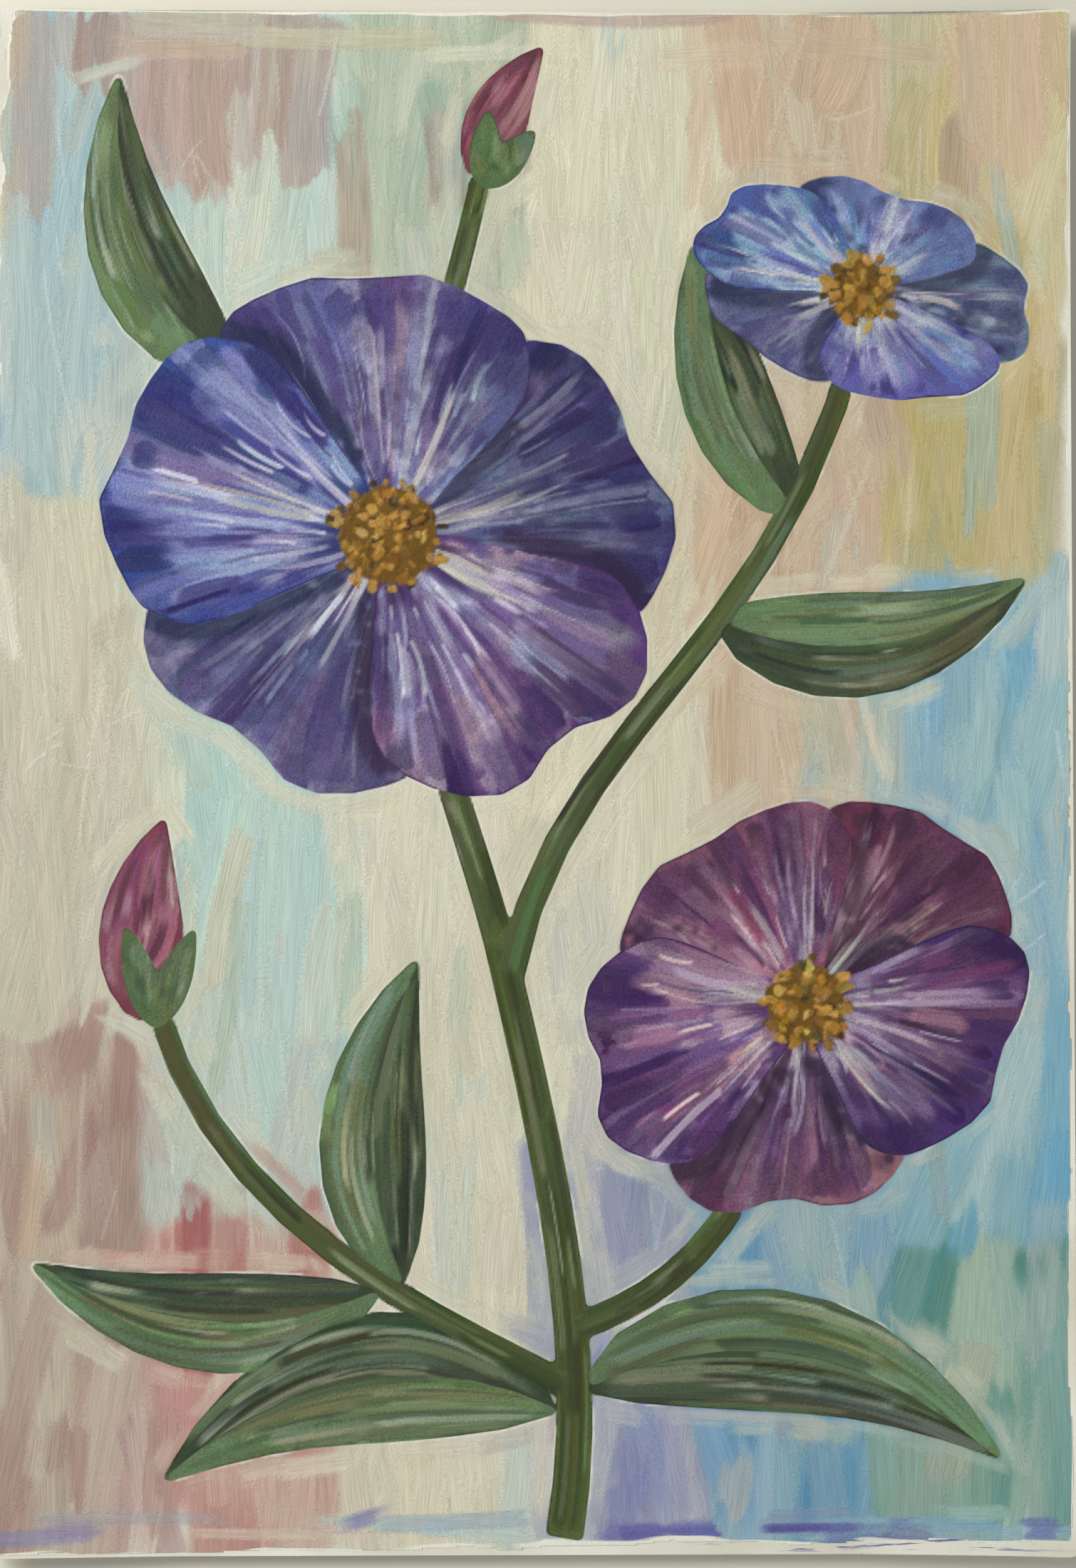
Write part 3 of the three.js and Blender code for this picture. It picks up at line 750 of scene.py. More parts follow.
def paint_wrinkles(canvas, rng):
    """Raised curves where a half dry coat was scrubbed, painted paler than the paint under them as
    painted highlights, and specks of grit and fluff.
    """
    for _ in range(WRINKLES):
        place = place_on_sheet(rng, 140, 200)
        angle = rng.uniform(0, 2 * math.pi)
        for _ in range(rng.integers(1, 5)):
            heading = angle + rng.normal(0, 0.35)
            along = rng.uniform(2.5, 9) * toward(heading)
            aside = rng.normal(0, 0.3) * turned(along)
            middle = place + rng.normal(0, 3.5, 2)
            # Painted highlight: each raised curve is painted lighter than the paint under it.
            line = shaded(canvas.colour_at(middle), 0.4)
            points = [middle - along, middle + aside, middle + along]
            brush(canvas, rng, points, (line, line), canvas.anywhere, **drawn(rng, WRINKLE_STYLE))
    for _ in range(SPECKS):
        start = place_on_sheet(rng, 145, 206)
        end = start + rng.normal(0, 0.5, 2)
        line = shaded(canvas.colour_at(start), rng.choice([-0.4, 0.5]))
        points = [start, (start + end) / 2, end]
        brush(canvas, rng, points, (line, line), canvas.anywhere, **drawn(rng, SPECK_STYLE))


# How many millimetres of the motif's outline there are for each stroke around it.
AROUND_PITCH = 11
AROUND_STYLE = dict(
    opacity=(0.4, 0.85), soft=(0.3, 0.7), cap=0.7, ragged=(3, 8), fade=(3, 12), ease=(2, 6),
    body=(0.06, 0.11), dry=(0.0, 0.3), contrast=0.06, pick_up=(0.4, 0.9),
)


def paint_around(canvas, rng, motif):
    """Cream strokes along the motif's outline, and a thin white line left along it."""
    slope_y, slope_x = np.gradient(blur(at_points(motif), 3.0))
    steps = border_steps(motif > 0.5)
    for _ in range(int(len(steps) * GRID / AROUND_PITCH)):
        row, column = steps[rng.integers(len(steps))][:2]
        outward = -np.array([slope_x[row, column], slope_y[row, column]])
        size = np.linalg.norm(outward)
        if size < 1e-4:
            continue
        outward = outward / size
        width = rng.uniform(3, 9)
        place = np.array([canvas.x[column], canvas.y[row]])
        place = place + outward * (width / 2 - 0.4 + rng.uniform(0, 1.5))
        along = turned(outward) * rng.uniform(6, 15) * rng.choice([-1, 1])
        points = [place - along, place + outward * rng.uniform(-1, 1), place + along]
        paint = (varied(rng, CREAM, 0.04, 0.012), varied(rng, PUTTY, 0.05, 0.012))
        brush(canvas, rng, points, paint, canvas.anywhere, width, **drawn(rng, AROUND_STYLE))
    glaze(canvas, rng, edge_band(motif, 1.0, 0.3, 0.8), PAPER_WHITE, 0.75, pitch=20, gaps=0.0)


def reach_along(canvas, cover, centre, angle, most):
    """How near and how far a region starts and ends along a ray."""
    steps = np.arange(2, most, GRID)
    columns = np.searchsorted(canvas.x, centre[0] + steps * math.cos(angle)) - 1
    rows = np.searchsorted(canvas.y, centre[1] + steps * math.sin(angle)) - 1
    hit = cover[np.clip(rows, 0, cover.shape[0] - 1), np.clip(columns, 0, cover.shape[1] - 1)] > 0.5
    if not hit.any():
        return 0.0, 0.0
    return steps[hit].min(), steps[hit].max()


# How much red, green and blue a petal's deepest tone keeps of its own colour.
DEEPER = np.array([0.75, 0.65, 0.95], np.float32)


class Fan:
    """The rays of a petal, from its blossom's centre to its rim, and how its colour turns."""

    def __init__(self, canvas, rng, cover, centre, colour, accents):
        rows, columns = np.nonzero(cover > 0.5)
        px = canvas.x[columns] - centre[0]
        py = canvas.y[rows] - centre[1]
        self.canvas = canvas
        self.cover = cover
        self.centre = centre
        self.axis = math.atan2(py.mean(), px.mean())
        turn = (np.arctan2(py, px) - self.axis + math.pi) % (2 * math.pi) - math.pi
        self.spread = np.percentile(np.abs(turn), 98)
        self.reach = np.hypot(px, py).max()
        self.colour = colour
        self.deep = shaded(colour * DEEPER, -0.35)
        self.accents = [accents[k] for k in rng.permutation(len(accents))[:2]]
        self.lights = pick(rng, [LAVENDER, max(accents, key=np.sum)])
        self.seed = rng.uniform(0, NOISE_SIDE, 2)
        self.folds = rng.uniform(2.5, 4.5)

    def path(self, side, first_share, last_share, bow):
        """A curve between two shares of the way to the rim, side from -1 to 1 across it."""
        angle = self.axis + side * self.spread
        near, far = reach_along(self.canvas, self.cover, self.centre, angle, self.reach + 2)
        if far < 5:
            return None
        ray = toward(angle)
        normal = turned(ray)
        first = near + (far - near) * first_share
        last = near + (far - near) * last_share
        start = self.centre + ray * first
        end = self.centre + ray * last + normal * bow * (last - first) * 0.3
        return [start, (start + end) / 2 + normal * bow * (last - first), end]

    def tint(self, side, share):
        """The colour at a place: broad patches of accents, folds, light inside, deep outside."""
        patch = float(noise(side * 1.4 + self.seed[0], share * 1.5 + self.seed[1]))
        accent = self.accents[0] if patch < 0 else self.accents[1]
        colour = self.colour + (accent - self.colour) * min(1.0, 1.8 * abs(patch))
        fold = math.sin(side * self.folds * math.pi + self.seed[0] + share)
        colour = colour + (self.lights - colour) * 0.7 * max(0, fold) * (1 - 0.4 * share)
        colour = colour + (self.deep - colour) * min(1.0, 0.5 * max(0, -fold) + 0.55 * share ** 3)
        return shaded(colour, 0.28 * (1 - share) ** 2)


# The strokes of a petal, in the order they go on. count is for each millimetre from the centre to
# the rim, first and length are shares of the way along it, width is a share of it, bow is how far
# the stroke curves, and shift is how far its tone may stray.
PETAL_LAYERS = (
    dict(
        paint="own", shift=0.05, count=1.1, first=(-0.05, 0.75), length=(0.35, 0.6),
        bow=(0.0, 0.14),
        style=dict(
            width=(0.1, 0.19), opacity=0.92, ragged=(2, 7), fade=(3, 10), ease=(2, 7),
            soft=(0.12, 0.4), cap=0.9, grain=(0.7, 0.95), contrast=0.13,
        ),
    ),
    dict(
        paint="own", shift=0.24, count=0.5, first=(0.0, 0.5), length=(0.35, 0.75), bow=(0.0, 0.24),
        style=dict(
            width=(0.04, 0.13), opacity=(0.5, 0.9), ragged=(1, 6), fade=(1, 7), ease=(1, 5),
            soft=(0.08, 0.25), cap=0.9, grain=(0.5, 0.95), contrast=0.13, wash=0.3,
            pick_up=(0.0, 0.3), dry=(0.0, 0.4),
        ),
    ),
    dict(
        paint="accent", shift=0.15, count=0.2, first=(0.05, 0.55), length=(0.3, 0.6),
        bow=(0.0, 0.26),
        style=dict(
            width=(0.04, 0.12), opacity=(0.5, 0.88), ragged=(1, 6), fade=(1, 6), ease=(1, 4),
            soft=(0.08, 0.25), cap=0.9, grain=(0.5, 0.9), contrast=0.12, wash=0.28,
            pick_up=(0.1, 0.5), dry=(0.0, 0.5),
        ),
    ),
    dict(
        paint="deep", shift=0.12, count=0.16, first=(0.95, 1.03), length=(-0.4, -0.12),
        bow=(0.0, 0.18),
        style=dict(
            width=(0.06, 0.15), opacity=(0.4, 0.85), ragged=(2, 7), fade=(2, 9), soft=(0.12, 0.4),
            cap=0.9, grain=(0.6, 0.95), body=0.07, contrast=0.14, wash=0.2, dry=(0.0, 0.4),
        ),
    ),
    dict(
        paint="dark", shift=0.1, count=0.16, first=(0.15, 0.6), length=(0.25, 0.55),
        bow=(0.0, 0.24),
        style=dict(
            width=(0.02, 0.07), opacity=(0.5, 0.9), ragged=(1, 5), fade=(2, 8), ease=(1, 4),
            soft=(0.1, 0.3), cap=0.9, grain=(0.4, 0.9), contrast=0.12, wash=0.15, dry=(0.0, 0.4),
        ),
    ),
    dict(
        paint="pale", shift=0.1, count=0.2, first=(0.0, 0.5), length=(0.25, 0.6), bow=(0.0, 0.24),
        style=dict(
            width=(0.012, 0.05), opacity=(0.4, 0.9), ragged=(2, 7), fade=(2, 8), ease=(1, 4),
            soft=0.25, cap=0.9, grain=(0.1, 0.5), body=0.1, contrast=0.08, dry=(0.1, 0.8),
        ),
    ),
    dict(
        paint="dark", shift=0.1, count=0.2, first=(0.05, 0.6), length=(0.2, 0.5), bow=(0.0, 0.2),
        style=dict(
            width=(0.01, 0.025), opacity=(0.3, 0.75), ragged=3, fade=5, ease=3, soft=0.5, cap=0.9,
            body=0.07, contrast=0.08, dry=(0.0, 0.4),
        ),
    ),
    dict(
        paint="deep", shift=0.05, count=0.16, first=(-0.02, 0.02), length=(0.12, 0.32),
        bow=(0.0, 0.06),
        style=dict(
            width=(0.025, 0.06), opacity=0.6, ragged=5, fade=7, soft=0.4, grain=0.5, body=0.05,
            dry=0.2,
        ),
    ),
    dict(
        paint="white", shift=0.05, count=0.17, first=(0.05, 0.65), length=(0.15, 0.4),
        bow=(0.0, 0.35),
        style=dict(
            width=(0.01, 0.026), opacity=(0.7, 1.0), ragged=(2, 7), fade=2, soft=0.2, cap=0.9,
            grain=0.1, body=0.14, contrast=0.06, dry=(0.2, 0.8),
        ),
    ),
)


def paint_petal(canvas, rng, cover, centre, colour, accents):
    """A petal's strokes, which run out from the blossom's centre, and its dark rim."""
    limit = canvas.start_shape(cover)
    fan = Fan(canvas, rng, cover, centre, colour, accents)
    first_coat(canvas, rng, limit, shaded(colour, -0.1))
    for layer in PETAL_LAYERS:
        for _ in range(int(6 + fan.reach * layer["count"])):
            side = rng.uniform(-1, 1)
            first = rng.uniform(*layer["first"])
            last = first + rng.uniform(*layer["length"])
            path = fan.path(side, first, last, -side * rng.uniform(*layer["bow"]))
            if path is None:
                continue
            here = fan.tint(side, (first + last) / 2)
            tone = {
                "own": here,
                "accent": pick(rng, accents),
                "pale": shaded(here + (LAVENDER - here) * 0.35, 0.35),
                "dark": shaded(here * DEEPER, -0.25),
                "deep": fan.deep,
                "white": shaded(fan.lights, 0.45),
            }[layer["paint"]]
            tone = shaded(tone, rng.uniform(-1, 1) * layer["shift"])
            paint = (varied(rng, tone, 0.03), varied(rng, tone + (here - tone) * 0.3, 0.05))
            settings = drawn(rng, layer["style"])
            settings["width"] *= fan.reach
            brush(canvas, rng, path, paint, limit, **settings)
    rim = edge_band(cover, EDGE_BLUR, 0.2, 0.66)
    glaze(canvas, rng, rim, shaded(fan.deep, -0.15), 0.75, pitch=20, gaps=-0.3)
    canvas.end_shape()


# How far the shade behind a petal reaches, in millimetres.
SHADE_RADIUS = 4.0


def shade_behind(canvas, rng, front, behind, colour):
    """Darkens what is already painted close to the outline of a petal that lies in front."""
    band = edge_band(front, SHADE_RADIUS, 0.08, 0.45) * limit_of(behind)
    glaze(canvas, rng, band, shaded(colour, -0.6), 0.7, pitch=30, gaps=-0.45)


class Spine:
    """The middle line of a long region, with its half width, from one end to the other."""

    STEPS = 9

    def __init__(self, canvas, cover):
        rows, columns = np.nonzero(cover > 0.5)
        points = np.stack([canvas.x[columns], canvas.y[rows]], 1) + GRID / 2
        mean = points.mean(0)
        axis = np.linalg.svd(points[::7] - mean, full_matrices=False)[2][0]
        self.normal = turned(axis)
        s = (points - mean) @ axis
        d = (points - mean) @ self.normal
        edges = np.linspace(s.min(), s.max(), self.STEPS + 1)
        line = []
        half = []
        for low, high in zip(edges[:-1], edges[1:]):
            side_low, side_high = np.percentile(d[(s >= low) & (s <= high)], [2, 98])
            line.append(mean + axis * (low + high) / 2 + self.normal * (side_low + side_high) / 2)
            half.append((side_high - side_low) / 2)
        line[0] = mean + axis * s.min() + self.normal * d[s < s.min() + 1.5].mean()
        line[-1] = mean + axis * s.max() + self.normal * d[s > s.max() - 1.5].mean()
        self.line = np.array(line)
        self.half = np.array(half)

    def at(self, share, side):
        """The place at a share of the length. side runs from -1 to 1 across the region."""
        shares = np.linspace(0, 1, self.STEPS)
        middle = [np.interp(share, shares, self.line[:, k]) for k in (0, 1)]
        return np.array(middle) + self.normal * side * np.interp(share, shares, self.half)

    def path(self, first, last, side):
        return curve_through(self.at, first, last, side)


def curve_through(place, first, last, side):
    """The three points of a curve that follows place(share, side) from one share to another."""
    first = max(0.0, first)
    last = min(1.0, last)
    start = place(first, side)
    end = place(last, side)
    return [start, 2 * place((first + last) / 2, side) - (start + end) / 2, end]


# The strokes of a leaf's half, a bud or its sepals. count is for each millimetre of its half width,
# first and length are shares of its length, and width is a share of that half width.
BLADE_LAYERS = (
    dict(
        paint="own", count=1.4, first=(0.0, 0.5), length=(0.45, 0.75),
        style=dict(
            width=(0.45, 0.9), opacity=0.95, fade=4, ease=3, soft=0.3, cap=0.9, grain=(0.2, 0.5),
            body=0.09, contrast=0.1,
        ),
    ),
    dict(
        paint="accent", count=1.1, first=(0.0, 0.55), length=(0.4, 0.8),
        style=dict(
            width=(0.2, 0.65), opacity=(0.45, 0.85), ragged=(3, 9), fade=(2, 8), ease=(2, 6),
            soft=(0.15, 0.4), cap=0.9, grain=(0.1, 0.4), contrast=0.1, dry=(0.0, 0.5),
            pick_up=(0.0, 0.5),
        ),
    ),
    dict(
        paint="dark", count=0.45, first=(0.0, 0.6), length=(0.25, 0.6),
        style=dict(
            width=(0.1, 0.35), opacity=(0.4, 0.85), ragged=5, fade=6, ease=4, soft=0.3, cap=0.9,
            grain=0.2, dry=(0.0, 0.4), wash=0.15,
        ),
    ),
    dict(
        paint="pale", count=0.6, first=(0.05, 0.6), length=(0.2, 0.5),
        style=dict(
            width=(0.1, 0.35), opacity=(0.35, 0.8), ragged=6, fade=6, ease=4, soft=0.4, cap=0.9,
            grain=0.1, body=0.1, contrast=0.06, dry=(0.45, 0.85),
        ),
    ),
)


def darken_rim(canvas, rng, cover, colour):
    """The broken dark line along the outline of a green part or a bud."""
    rim = edge_band(cover, EDGE_BLUR, 0.2, 0.64)
    glaze(canvas, rng, rim, shaded(colour, -0.6), 0.5, pitch=10, gaps=-0.2)


def paint_blade(canvas, rng, cover, colour, accents):
    """A leaf's half, a bud or its sepals: strokes that follow its length."""
    limit = canvas.start_shape(cover)
    spine = Spine(canvas, cover)
    wide = spine.half.max()
    first_coat(canvas, rng, limit, shaded(colour, -0.24))
    for layer in BLADE_LAYERS:
        for _ in range(int(5 + wide * layer["count"])):
            first = rng.uniform(*layer["first"])
            path = spine.path(first, first + rng.uniform(*layer["length"]), rng.uniform(-0.9, 0.9))
            tone = {
                "own": shaded(colour, rng.normal(-0.27, 0.13)),
                "accent": shaded(pick(rng, accents), -0.12),
                "pale": DRY_GREY + (shaded(pick(rng, accents), 0.35) - DRY_GREY) * rng.random(),
                "dark": shaded(colour, -0.5),
            }[layer["paint"]]
            paint = (varied(rng, tone, 0.05), varied(rng, tone + (colour - tone) * 0.4, 0.06))
            settings = drawn(rng, layer["style"])
            settings["width"] *= wide
            brush(canvas, rng, path, paint, limit, **settings)
    darken_rim(canvas, rng, cover, colour)
    canvas.end_shape()


# The stems' middle lines, each a cubic curve of four points, as in the part's source.
STEM_PATHS = (
    ((10, -205), (18, -160), (8, -110), (-8, -44)),
    ((-8, -44), (-16, -14), (-30, 20), (-36, 60)),
    ((12, -150), (34, -142), (60, -130), (74, -70)),
    ((-5, -56), (8, 16), (72, 34), (92, 128)),
    ((12, -166), (-26, -146), (-84, -122), (-101, -62)),
    ((-30, 100), (-22, 126), (-16, 150), (-12, 168)),
)
STEM_HALF = 3.6
# The covering strokes' places across a stem, and where along it they start.
STEM_ROWS = (-0.6, 0.6, 0)
STEM_STARTS = (0, 0.22, 0.47, 0.72)
STEM_COAT = dict(width=STEM_HALF * 1.1, opacity=0.95, ragged=3, fade=4, ease=4, soft=0.3, body=0.09)
STEM_TOUCHES = 18
STEM_TOUCH = dict(
    width=(0.9, 2.6), opacity=(0.6, 0.95), fade=6, ease=4, soft=0.4, cap=0.9, grain=0.2, body=0.1,
    dry=(0, 0.5),
)


def stem_stroke(path, first, last, side):
    """A stroke along a stem, so many millimetres to one side of its middle line."""
    a, b, c, d = (np.array(p, float) for p in path)

    def middle(t):
        return (1 - t) ** 3 * a + 3 * t * (1 - t) ** 2 * b + 3 * t * t * (1 - t) * c + t ** 3 * d

    def place(share, side):
        heading = middle(min(1, share + 0.01)) - middle(max(0, share - 0.01))
        return middle(share) + side * turned(heading) / np.linalg.norm(heading)

    return curve_through(place, first, last, side)


def paint_stems(canvas, rng, cover, colour):
    """The stems: covering strokes along each curve, then short light and dark ones."""
    limit = canvas.start_shape(cover)
    first_coat(canvas, rng, limit, colour)
    for path in STEM_PATHS:
        for side in STEM_ROWS:
            for first in STEM_STARTS:
                paint = (varied(rng, colour, 0.06), varied(rng, shaded(colour, -0.3)))
                points = stem_stroke(path, first, first + 0.3, side * STEM_HALF)
                brush(canvas, rng, points, paint, limit, **STEM_COAT)
        for _ in range(STEM_TOUCHES):
            first = rng.uniform(0, 0.85)
            side = rng.uniform(-0.95, 0.95)
            own = shaded(colour, 0.35 if side > 0 else -0.4)
            tint = pick(rng, GREEN_ACCENTS) if rng.random() < 0.4 else own
            points = stem_stroke(path, first, first + rng.uniform(0.08, 0.3), side * STEM_HALF)
            paint = (varied(rng, tint), varied(rng, colour))
            brush(canvas, rng, points, paint, limit, **drawn(rng, STEM_TOUCH))
    darken_rim(canvas, rng, cover, colour)
    canvas.end_shape()


STREAKS = 130
LONGEST_STREAK = 90
SHORTEST_STREAK = 8
STREAK_STYLE = dict(
    width=(0.9, 2.8), opacity=(0.4, 0.9), ragged=(2, 8), fade=(2, 8), ease=(1, 4), soft=0.3,
    cap=0.9, grain=0.15, body=0.12, contrast=0.08, dry=(0.2, 0.8),
)


def paint_streaks(canvas, rng, streaks, petals, centre):
    """Pale dry strokes out from a blossom's centre, along its streaks."""
    limit = limit_of(petals)
    for _ in range(STREAKS):
        angle = rng.uniform(-math.pi, math.pi)
        far = reach_along(canvas, streaks, centre, angle, LONGEST_STREAK)[1]
        if far < SHORTEST_STREAK:
            continue
        far = far * rng.uniform(0.5, 1.1)
        near = rng.uniform(3, 3 + 0.4 * far)
        ray = toward(angle)
        bend = turned(ray) * rng.normal(0, 0.06) * far
        tone = LAVENDER + (CREAM - LAVENDER) * rng.random()
        paint = (varied(rng, shaded(tone, 0.2)), varied(rng, shaded(tone, -0.2)))
        middle = centre + ray * (near + far) / 2 + bend
        points = [centre + ray * near, middle, centre + ray * far - bend * 0.3]
        brush(canvas, rng, points, paint, limit, **drawn(rng, STREAK_STYLE))


DAB_STYLE = dict(
    width=(1.6, 3.6), opacity=0.92, ragged=1.2, fade=0.8, soft=0.35, cap=0.8, grain=0.2,
    contrast=0.12, body=(0.12, 0.3), rim=0.3, wash=0.25,
)
DAB_TONES = [shaded(OCHRE, amount) for amount in (-0.6, -0.35, -0.1, 0.0, 0.12)] + [YELLOW]


def paint_centre(canvas, rng, cover, petals):
    """Thick stippled dabs, dark ochre below and yellow on top, some of them over the rim."""
    limit = limit_of(petals)
    centre = middle_of(canvas, cover)
    reach = math.sqrt(cover.sum() * GRID * GRID / math.pi)
    first_coat(canvas, rng, limit_of(cover, 1.0), shaded(OCHRE, -0.45), body=0.15)
    count = int(44 + reach * 8)
    for k in range(count):
        angle = rng.uniform(0, 2 * math.pi)
        out = reach * 1.04 * rng.random() ** 0.75
        start = centre + out * toward(angle)
        turn = angle + rng.normal(0, 0.5)
        end = start + rng.uniform(2, 5.5) * toward(turn)
        tone = DAB_TONES[min(len(DAB_TONES) - 1, int(k / count * 4.2 + rng.uniform(0, 1.1)))]
        paint = (varied(rng, tone, 0.08), varied(rng, shaded(tone, -0.25), 0.08))
        brush(canvas, rng, [start, (start + end) / 2, end], paint, limit, **drawn(rng, DAB_STYLE))


def calm_borders(canvas):
    """Shows grain in place of streaks where strokes meet, because streaks can't run on there."""
    for field in (canvas.along, canvas.across):
        for axis in (0, 1):
            jump = np.abs(np.diff(field, axis=axis)) > 3 * GRID
            canvas.grain[padded(jump, axis, 1, 0) | padded(jump, axis, 0, 1)] = 1.0


def paint_background(canvas, rng, covers, motif):
    """Everything behind the motif."""
    paint_ground(canvas, rng)
    fields = [node for node in covers if node.startswith("field")]
    for layer in FIELD_LAYERS:
        for node in fields:
            paint_field(canvas, rng, covers[node], slot_colour(node), layer)
    paint_hanging(canvas, rng)
    paint_edges(canvas, rng)
    for node in fields:
        paint_field_lines(canvas, rng, covers[node])
    paint_wrinkles(canvas, rng)
    paint_around(canvas, rng, motif)


# The petals' numbers in their nodes' names, from the back one to the front one.
PETAL_ORDER = (1, 4, 2, 5, 3)


def paint_blossom(canvas, rng, covers, side, accents):
    """A blossom's petals from the back to the front, its streaks and its centre."""
    middle = covers["centre_" + side]
    centre = middle_of(canvas, middle)
    behind = np.zeros_like(middle)
    for place in PETAL_ORDER:
        petal = f"petal_{side}_{place}"
        colour = slot_colour(petal)
        if behind.any():
            shade_behind(canvas, rng, covers[petal], behind, colour)
        paint_petal(canvas, rng, covers[petal], centre, colour, accents)
        behind = np.maximum(behind, covers[petal])
    behind = np.maximum(behind, middle)
    paint_streaks(canvas, rng, np.maximum(covers["streaks_" + side], middle), behind, centre)
    paint_centre(canvas, rng, middle, behind)


def paint_picture(canvas, covers):
    """Paints every coat, from the base up."""
    rng = np.random.default_rng(STROKE_SEED)
    canvas.set_border(brushed_border(canvas, covers["base_coat"]))
    motif = np.maximum.reduce([covers[node] for node in covers if level(node) >= MOTIF_LEVEL])
    paint_background(canvas, rng, covers, motif)
    stems = np.maximum(covers["stem_branches"], covers["stem_top"])
    paint_stems(canvas, rng, stems, shaded(slot_colour("stem_branches"), -0.15))
    for node in covers:
        if node.startswith("leaf") or node.endswith("sepals"):
            paint_blade(canvas, rng, covers[node], slot_colour(node), GREEN_ACCENTS)
        elif node.startswith("bud"):
            paint_blade(canvas, rng, covers[node], slot_colour(node), BUD_ACCENTS)
    for side, accents in BLOSSOM_ACCENTS.items():
        paint_blossom(canvas, rng, covers, side, accents)
    calm_borders(canvas)


# --- Bodies ---

def rise(distance, flat, end, height):
    """How far the sheet has curled up at a distance from its middle."""
    return height * (np.clip(distance - flat, 0, None) / (end - flat)) ** 2


def curl(x, y):
    """How far the sheet has curled up at a place."""
    half_width = SHEET_WIDTH / 2
    half_length = SHEET_LENGTH / 2
    left = rise(-x, FLAT_HALF_WIDTH, half_width, RISE_LEFT)
    right = rise(x, FLAT_HALF_WIDTH, half_width, RISE_RIGHT)
    bottom = rise(-y, FLAT_HALF_LENGTH, half_length, RISE_BOTTOM)
    return left + right + bottom + rise(y, FLAT_HALF_LENGTH, half_length, RISE_TOP)


def make_mesh(name, vertices, faces, smooth):
    """A mesh from points in millimetres and arrays of faces, each with one number of corners."""
    mesh = bpy.data.meshes.new(name)
    corners = np.concatenate([f.ravel() for f in faces]).astype(np.int32)
    sizes = np.concatenate([np.full(len(f), f.shape[1]) for f in faces])
    starts = np.concatenate([[0], np.cumsum(sizes)[:-1]]).astype(np.int32)
    soft = np.concatenate([np.full(len(f), s) for f, s in zip(faces, smooth)])
    mesh.vertices.add(len(vertices))
    mesh.vertices.foreach_set("co", (vertices * MM).astype(np.float32).ravel())
    mesh.loops.add(len(corners))
    mesh.loops.foreach_set("vertex_index", corners)
    mesh.polygons.add(len(sizes))
    mesh.polygons.foreach_set("loop_start", starts)
    mesh.polygons.foreach_set("use_smooth", soft)
    mesh.update(calc_edges=True)
    mesh.validate()
    return add_object(name, mesh)


def add_object(name, data):
    obj = bpy.data.objects.new(name, data)
    bpy.context.scene.collection.objects.link(obj)
    return obj


def add_map(obj, top_faces):
    """The bake's map: the top fills the square, and all other faces share a strip below it."""
    mesh = obj.data
    points = read_all(mesh.vertices, "co", 3, np.float32).reshape(-1, 3)[:, :2]
    points = points - points.mean(0)
    axes = np.linalg.svd(points[::9], full_matrices=False)[2]
    flat = points @ axes.T
    flat = (flat - flat.min(0)) / np.ptp(flat, axis=0)
    corners = read_all(mesh.loops, "vertex_index", 1, np.int32)
    starts = read_all(mesh.polygons, "loop_start", 1, np.int32)
    on_top = np.arange(len(corners)) < starts[top_faces]
    uv = flat[corners]
    uv[:, 1] = np.where(on_top, 0.07 + 0.92 * uv[:, 1], 0.01 + 0.04 * uv[:, 1])
    uv[:, 0] = 0.01 + 0.98 * uv[:, 0]
    mesh.uv_layers.new(name="OFBake").data.foreach_set("uv", uv.astype(np.float32).ravel())


def add_values(mesh, name, values):
    """Stores one number or one colour for each vertex."""
    if values.ndim == 2:
        values = np.concatenate([linear(values), np.ones((len(values), 1))], axis=1)
        layer = mesh.attributes.new(name, "FLOAT_COLOR", "POINT")
        layer.data.foreach_set("color", values.astype(np.float32).ravel())
    else:
        layer = mesh.attributes.new(name, "FLOAT", "POINT")
        layer.data.foreach_set("value", values.astype(np.float32))


def upward(slope_x, slope_y):
    """The direction of a surface that has the given slopes."""
    normals = np.stack([-slope_x, -slope_y, np.ones_like(slope_x)], -1)
    return normals / np.linalg.norm(normals, axis=-1, keepdims=True)


def surface_normals(canvas):
    """The painted surface's direction at each grid point, the same for coats that meet there."""
    slope_y, slope_x = np.gradient(curl(*canvas.places(WHOLE)) + canvas.height, GRID)
    return upward(slope_x, slope_y)


def set_normals(mesh, first, last=()):
    """Gives a mesh's first and last corners their normals, and leaves the others as they are."""
    values = np.zeros((len(mesh.loops), 3), np.float32)
    values[:len(first)] = first
    if len(last):
        values[-len(last):] = last
    mesh.normals_split_custom_set(values)


# A cell's neighbours, and the two corners of the cell's side that each lies at, as steps in rows
# and columns.
NEIGHBOURS = (
    ((-1, 0), (0, 0), (0, 1)),
    ((0, 1), (0, 1), (1, 1)),
    ((1, 0), (1, 1), (1, 0)),
    ((0, -1), (1, 0), (0, 0)),
)


def border_steps(cells):
    """The steps from grid point to grid point along a region's border, the region on the left."""
    wide = np.pad(cells, 1)
    steps = []
    for (row, column), first, last in NEIGHBOURS:
        shifted = wide[1 + row:wide.shape[0] - 1 + row, 1 + column:wide.shape[1] - 1 + column]
        rows, columns = np.nonzero(cells & ~shifted)
        ends = [rows + first[0], columns + first[1], rows + last[0], columns + last[1]]
        steps.append(np.stack(ends, 1))
    return np.concatenate(steps)


def triangulate(points, edges, kind):
    """Triangles between points of a plane that keep the given edges, as rows of the points'
    numbers. Where kind is 1 they end at the edges, and where it is 0 they fill the hull.
    """
    found = delaunay_2d_cdt([Vector(point) for point in points], edges, [], kind, 1e-6, True)
    if len(found[0]) != len(points):
        raise RuntimeError("points were merged or added")
    order = np.array([origin[0] for origin in found[3]])
    return order[np.array(found[2])]


